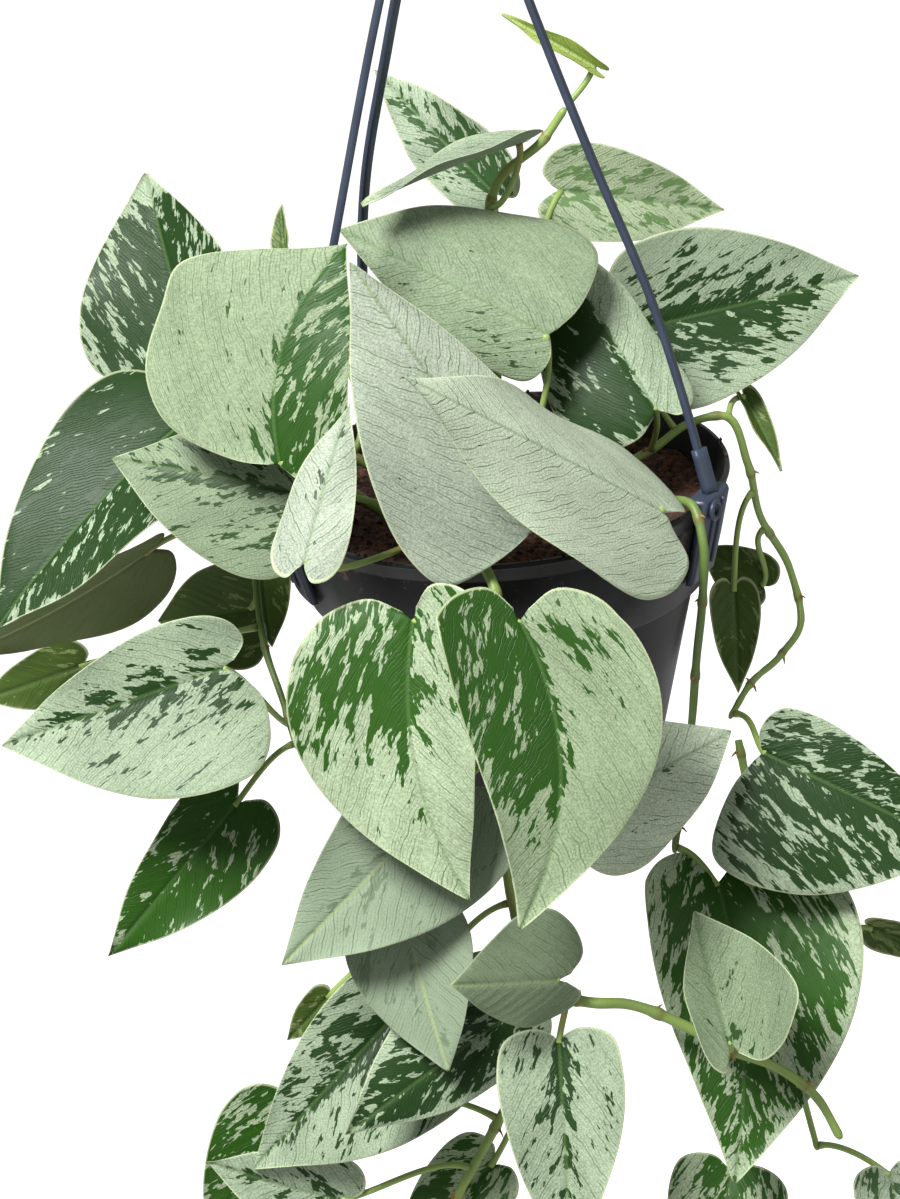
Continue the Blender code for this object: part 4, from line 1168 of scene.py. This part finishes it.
def make_leaf(number, leaf):
    """One leaf: upper and lower sheet joined at the margin, and its stalk."""
    s = np.linspace(0, 0.997, BLADE_ROWS)
    half_line = np.linspace(0, 1, BLADE_COLUMNS // 2 + 1) ** 0.9
    t = np.concatenate([-half_line[:0:-1], half_line])
    sheet, x, y, axis, normal = blade_surface(leaf, s, t)
    length = np.linalg.norm(np.array(leaf["tip"], float) - leaf["base"])
    du, dv = np.gradient(sheet, axis=0), np.gradient(sheet, axis=1)
    up = np.cross(dv, du)
    up /= np.maximum(np.linalg.norm(up, axis=2), 1e-9)[..., None]
    grid_t = np.broadcast_to(t, x.shape)
    sheet = sheet + up * blade_detail(x, y, grid_t, length, number)[..., None]
    thin = BLADE_THICKNESS * (1 - 0.6 * np.abs(grid_t) ** 6)
    under = sheet - up * thin[..., None]
    rows, columns = x.shape
    count = rows * columns
    top = grid_faces(rows, columns)
    bottom = top[:, ::-1] + count
    i = np.arange(rows - 1) * columns
    k = np.arange(columns - 1)
    last = (rows - 1) * columns
    left_edge = np.stack([i, i + columns, i + columns + count, i + count], axis=-1)
    right = i + columns - 1
    right_edge = np.stack([right + columns, right, right + count, right + columns + count], -1)
    stalk_edge = np.stack([k + 1, k, k + count, k + 1 + count], axis=-1)
    tip_edge = np.stack([last + k, last + k + 1, last + k + 1 + count, last + k + count], -1)
    faces = np.vstack([top, bottom, left_edge, right_edge, stalk_edge, tip_edge])
    blade = np.vstack([sheet.reshape(-1, 3), under.reshape(-1, 3)])
    path = stalk_path(leaf, axis, normal)
    q = np.linspace(0, 1, len(path))
    radii = STALK_RADIUS * (0.9 + 0.28 * np.exp(-(q / 0.06) ** 2)
                            + 0.22 * np.exp(-((1 - q) / 0.10) ** 2))
    stalk, stalk_faces = tube(path, round_section(radii, STALK_SIDES))
    flat_x, flat_y = x / 100 + 0.5, y / 100
    flat = np.stack([flat_x.ravel(), flat_y.ravel()], axis=-1)
    widest = np.abs(x).max(axis=1)[:, None]
    edge_gap = (1 - np.abs(grid_t)) * widest
    silver = silver_share(leaf, y / length, grid_t)
    dark, light = TONES[leaf["tone"]]
    extra = len(stalk)
    zeros, ones = np.zeros(extra), np.ones(count)
    green = np.tile(srgb(dark), (2 * count + extra, 1))
    green[2 * count:] = srgb(leaf.get("stalk", "8fa85a"))
    pale = np.tile(srgb(light), (2 * count + extra, 1))
    show = leaf.get("upper", 1.0)
    values = {
        "silver": np.concatenate([silver.ravel(), silver.ravel(), zeros]),
        "upper": np.concatenate([ones * show, 0 * ones, zeros]),
        "edge": np.concatenate([edge_gap.ravel(), edge_gap.ravel(), zeros]),
        "leaf_seed": np.full(2 * count + extra, number * 1.37),
        "joint_brown": np.concatenate([0 * ones, 0 * ones, 0.35 * np.repeat(
            np.exp(-(q / 0.05) ** 2), STALK_SIDES)]),
    }
    flat_all = np.vstack([flat, flat, np.zeros((extra, 2))])
    make_piece(leaf["name"] + "_blade", [(blade, faces, 0), (stalk, stalk_faces, 1)],
               [LEAF_SKIN, STEM_SKIN], [leaf["name"]], values,
               {"green_tint": green, "silver_tint": pale}, flat_all)


# %% [markdown]
# The leaves, one row each: the leaf, the vine it grows on and how far along, where the stalk
# meets the blade, where the tip is, the width, which way the upper face looks, how the halves
# fold and curl, how far the midrib bends, the tone, and how silver the halves are. Values
# after that are given by name.

# %% Leaves
def leaf_row(name, vine, joint, base, tip, width, face, halves, bend, tone, silver, **finer):
    """A leaf's numbers by name, in the order in which the cell above lists them.

    halves is one fold and curl in degrees for both halves, or a pair of them, left first.
    silver is one share for both halves, or a pair. finer adds or changes single values.
    """
    left, right = halves if isinstance(halves[0], tuple) else (halves, halves)
    silver = silver if isinstance(silver, tuple) else (silver, silver)
    return {"name": "leaf_" + name, "vine": "vine_" + vine, "joint": joint, "base": base,
            "tip": tip, "width": width, "face": face, "left": left, "right": right,
            "bend": bend, "tone": tone, "silver": silver, "slot": "leaf_silver", **finer}


LEAVES = [
    leaf_row("top_rolled", "top", 1.0, (42, 27, 126), (13, 27, 146), 9, (0, 22), (35, 30), 10,
             "lime", 0.5, upper=0.0),
    leaf_row("top_back", "top", 0.61, (6, 42, 83), (-31, 73, 121), 29, (-5, 20), (12, 25), 10,
             "silver", (0.72, 0.62), rib=(0.3, 0.3), patches=[(0.5, 0.15, 0.5, 0.25, -0.4)]),
    leaf_row("top_level", "top", 0.73, (16, 17, 107), (-37, 2, 95), 30, (180, 80), (5, 20), 10,
             "silver", 0.95),
    # The shade tone here paints the shadow that the leaf above casts on this leaf.
    leaf_row("crown_silver", "front", 0.12, (19, -16, 52), (-46, 15, 84), 58, (8, 35),
             ((-14, -30), (8, -30)), 10, "shade", (0.95, 1.1), rib=(0.1, 0.1), asym=-0.33,
             lobe=0.05, patches=[(-0.6, 0.2, 0.4, 0.25, -0.3)]),
    leaf_row("crown_right", "right", 0.16, (52, -14, 23), (20, 31, 76), 46, (0, 25),
             ((8, -30), (-10, -40)), 12, "deep", (0.16, 0.98), rib=(0.1, 0.15), edge_silver=0.4,
             asym=0.28, lobe=0.07, patches=[(-0.6, 0.3, 0.3, 0.15, 0.25)]),
    leaf_row("back_right", "right", 0.21, (51, 39, 32), (128, 49, 41), 62, (15, 20), (8, 10), 12,
             "deep", (0.72, 0.6), rib=(0.5, 0.4), tip_silver=0.6, edge_silver=0.3),
    leaf_row("back_pale", "right", 0.11, (29, 98, 66), (88, 99, 53), 36, (0, 20), (10, 10), 10,
             "pale", 0.6),
    leaf_row("back_left", "left_low", 0.55, (-100, 30, 43), (-111, 60, 96), 62, (-20, 15),
             (10, 10), 10, "deep", (0.36, 0.38), rib=(0.25, 0.4), tip_silver=0.6, asym=0.15),
    leaf_row("back_bud", "left", 0.19, (-67, 54, 66), (-67, 63, 80), 9, (-40, 20), (20, 10), 5,
             "olive", 0.3, slot="leaf_green"),
    leaf_row("folded", "front", 0.26, (-68, -54, 31), (-41, -28, 92), 60, (-10, 15),
             ((-5, 4), (8, 0)), 8, "satin", (0.92, 0.36), rib=(0.35, 0.1), edge_silver=0.1,
             sway=-0.14, asym=0.25, lobe=0.04, full=0.35, shoulder=0.38,
             patches=[(0, 0.0, 0.5, 0.14, -0.5)]),
    leaf_row("drape_left", "front", 0.27, (9, -84, 15), (-39, -66, 98), 56, (-6, 25),
             ((-3, 14), (-3, -12)), 12, "grey", (1.0, 0.95), rib=(0, 0.1), asym=0.3, lobe=0.02),
    leaf_row("drape_right", "rim", 0.21, (49, -73, 12), (-25, -111, 77), 60, (0, 35),
             ((4, 20), (-36, -20)), 8, "bright", 1.05, rib=(0, 0.1), asym=0.05, lobe=0.14),
    leaf_row("left_grey", "left_low", 0.4, (-64, -41, 16), (-124, -26, 27), 50, (-10, 35),
             (-4, -10), 12, "shade", (0.72, 0.66), rib=(0.4, 0.14), asym=0.2),
    leaf_row("narrow", "front", 0.32, (-61, -95, 15), (-44, -59, 51), 24, (-20, 0), (-4, -10), 10,
             "grey", 0.95),
    leaf_row("left_large", "left_low", 0.61, (-105, 7, 24), (-170, -29, -29), 62, (-30, 35),
             (10, 10), 25, "deep", (0.28, 0.1), rib=(0.1, 0.2), tip_silver=0.2),
    leaf_row("left_under", "left_low", 0.97, (-122, 12, -23), (-186, -8, -46), 48, (-10, -40),
             (10, 10), 15, "olive", 0.3, upper=0.0),
    leaf_row("left_far", "left", 0.74, (-151, 15, -65), (-188, 13, -74), 24, (0, 10), (5, 10), 10,
             "olive", 0.2, slot="leaf_green"),
    leaf_row("left_olive", "left", 0.57, (-92, 42, -61), (-127, 45, -64), 42, (0, 10), (10, 10),
             10, "olive", 0.2, slot="leaf_green"),
    leaf_row("left_olive_small", "left", 0.48, (-89, 63, -53), (-88, 53, -82), 20, (10, 0),
             (10, 10), 10, "olive", 0.2, slot="leaf_green"),
    leaf_row("left_silver", "left", 0.95, (-96, -29, -49), (-172, -41, -65), 60, (-5, 25),
             (8, 10), 18, "deep", 0.8, rib=(0.45, 0.35), asym=0.32),
    leaf_row("left_low", "left", 0.99, (-99, -26, -102), (-147, -48, -145), 38, (0, 10), (8, 10),
             10, "vivid", 0.22, slot="leaf_green", asym=0.12),
    leaf_row("front_left", "front", 0.47, (-30, -97, -6), (-20, -133, -84), 62, (-8, 15), (8, 5),
             12, "vivid", (0.74, 0.42), rib=(0.45, 0.26), tip_silver=0.6, tip_from=0.3,
             edge_silver=0.1, sway=0.09, asym=-0.2),
    leaf_row("front_right", "front", 0.51, (2, -108, -4), (-6, -147, -87), 63, (8, 15), (8, 5),
             14, "satin", (0.92, 0.34), rib=(0.45, 0.16), tip_silver=0.5, tip_from=0.45,
             edge_silver=0.1, sway=-0.13, asym=0.05, patches=[(-0.5, 0.05, 0.35, 0.12, -0.45)]),
    leaf_row("front_under", "front", 0.7, (-22, -99, -63), (-80, -125, -106), 52, (-8, 15),
             (8, 5), 14, "silver", 0.8, upper=0.35, asym=0.15),
    leaf_row("low_under", "front", 0.82, (-42, -106, -103), (-32, -132, -145), 42, (-10, 10),
             (8, 5), 14, "silver", 0.8, upper=0.3),
    leaf_row("right_drape", "front", 0.75, (15, -96, -78), (66, -76, -64), 52, (5, 40),
             ((-5, -25), (-5, -45)), 14, "bright", 1.0, patches=[(-0.5, 0.2, 0.4, 0.25, -0.6)]),
    leaf_row("low_grey", "front", 0.99, (5, -126, -119), (-28, -144, -106), 38, (-10, 20),
             (-5, -15), 14, "shade", 1.1, upper=0.5, rib=(0.1, 0.1), asym=-0.2, lobe=0.25),
    leaf_row("low_hanging", "side", 0.02, (3, -124, -142), (1, -157, -202), 41, (0, 12), (12, 5),
             14, "deep", (0.85, 0.8), rib=(0.35, 0.22), lobe=0.05,
             patches=[(0, 0.05, 0.8, 0.2, -0.3)]),
    leaf_row("low_cupped", "low", 0.11, (-8, -110, -138), (-66, -137, -162), 42, (-15, 30),
             ((-20, -20), (20, -20)), 14, "deep", 0.35, edge_silver=0.9, asym=-0.15),
    leaf_row("low_left", "front", 0.9, (-44, -91, -144), (-99, -115, -188), 56, (-10, 25), (8, 5),
             14, "deep", (0.75, 0.7), rib=(0.4, 0.2), asym=0.3,
             patches=[(0.5, 0.3, 0.4, 0.25, -0.3)]),
    leaf_row("low_green", "low", 0.6, (-89, -86, -187), (-120, -100, -226), 38, (0, 20), (8, 5),
             14, "vivid", 0.35),
    leaf_row("low_silver", "low", 0.81, (-71, -113, -205), (-114, -112, -186), 30, (0, 20),
             (8, 5), 14, "deep", 0.7),
    leaf_row("far_right", "right", 0.99, (77, -60, -81), (138, -82, -111), 60, (10, 25), (8, 5),
             14, "deep", 0.42, rib=(0.2, 0.25), edge_silver=0.25, asym=-0.4, lobe=0.05),
    leaf_row("right_heart", "rim", 0.99, (59, -74, -120), (55, -130, -198), 70, (5, 15), (8, 5),
             18, "vivid", (0.42, 0.44), rib=(0.2, 0.3), edge_silver=0.35, sway=-0.05, asym=0.2),
    leaf_row("right_young", "side", 0.53, (56, -130, -145), (49, -105, -111), 45, (5, 15),
             (28, 20), -18, "shade", 0.95, asym=-0.4, lobe=0.2, patches=[(0, 0, 0.6, 0.2, -0.4)]),
    leaf_row("right_edge", "far", 0.48, (111, -52, -156), (137, -48, -172), 14, (0, 20), (20, 20),
             10, "olive", 0.4, slot="leaf_green"),
    leaf_row("right_low", "far", 0.69, (56, -107, -211), (42, -130, -243), 40, (0, 30), (8, 5),
             16, "vivid", 0.45, slot="leaf_green"),
    leaf_row("right_lowest", "far", 0.99, (108, -104, -218), (112, -122, -242), 27, (0, 30),
             (8, 5), 18, "silver", 0.6),
    leaf_row("behind_right", "right", 0.52, (89, 30, -64), (68, 38, -50), 22, (0, 10), (8, 5), 10,
             "olive", 0.2, slot="leaf_green"),
    leaf_row("behind_hanging", "right", 0.44, (77, 16, -57), (76, 6, -93), 18, (0, 10), (8, 5),
             10, "olive", 0.2, slot="leaf_green"),
    leaf_row("spear_right", "right", 0.3, (85, 35, 7), (96, 21, -17), 10, (30, 10), (20, 20), 10,
             "olive", 0.1, slot="leaf_green"),
    leaf_row("crown_bud", "top", 0.15, (-3, 6, 26), (-13, 7, 39), 12, (0, 10), (20, 20), 10,
             "lime", 0.0, slot="leaf_green", rib=(0, 0.1)),
    leaf_row("low_back", "low", 0.5, (-22, -97, -207), (-56, -107, -227), 30, (-10, 30), (8, 5),
             10, "vivid", 0.5),
    leaf_row("low_bud", "front", 0.86, (-71, -74, -151), (-87, -76, -166), 14, (0, 10), (8, 5),
             10, "olive", 0.3, slot="leaf_green"),
]

for number, leaf in enumerate(LEAVES):
    make_leaf(number, leaf)
print("leaves:", len(LEAVES))
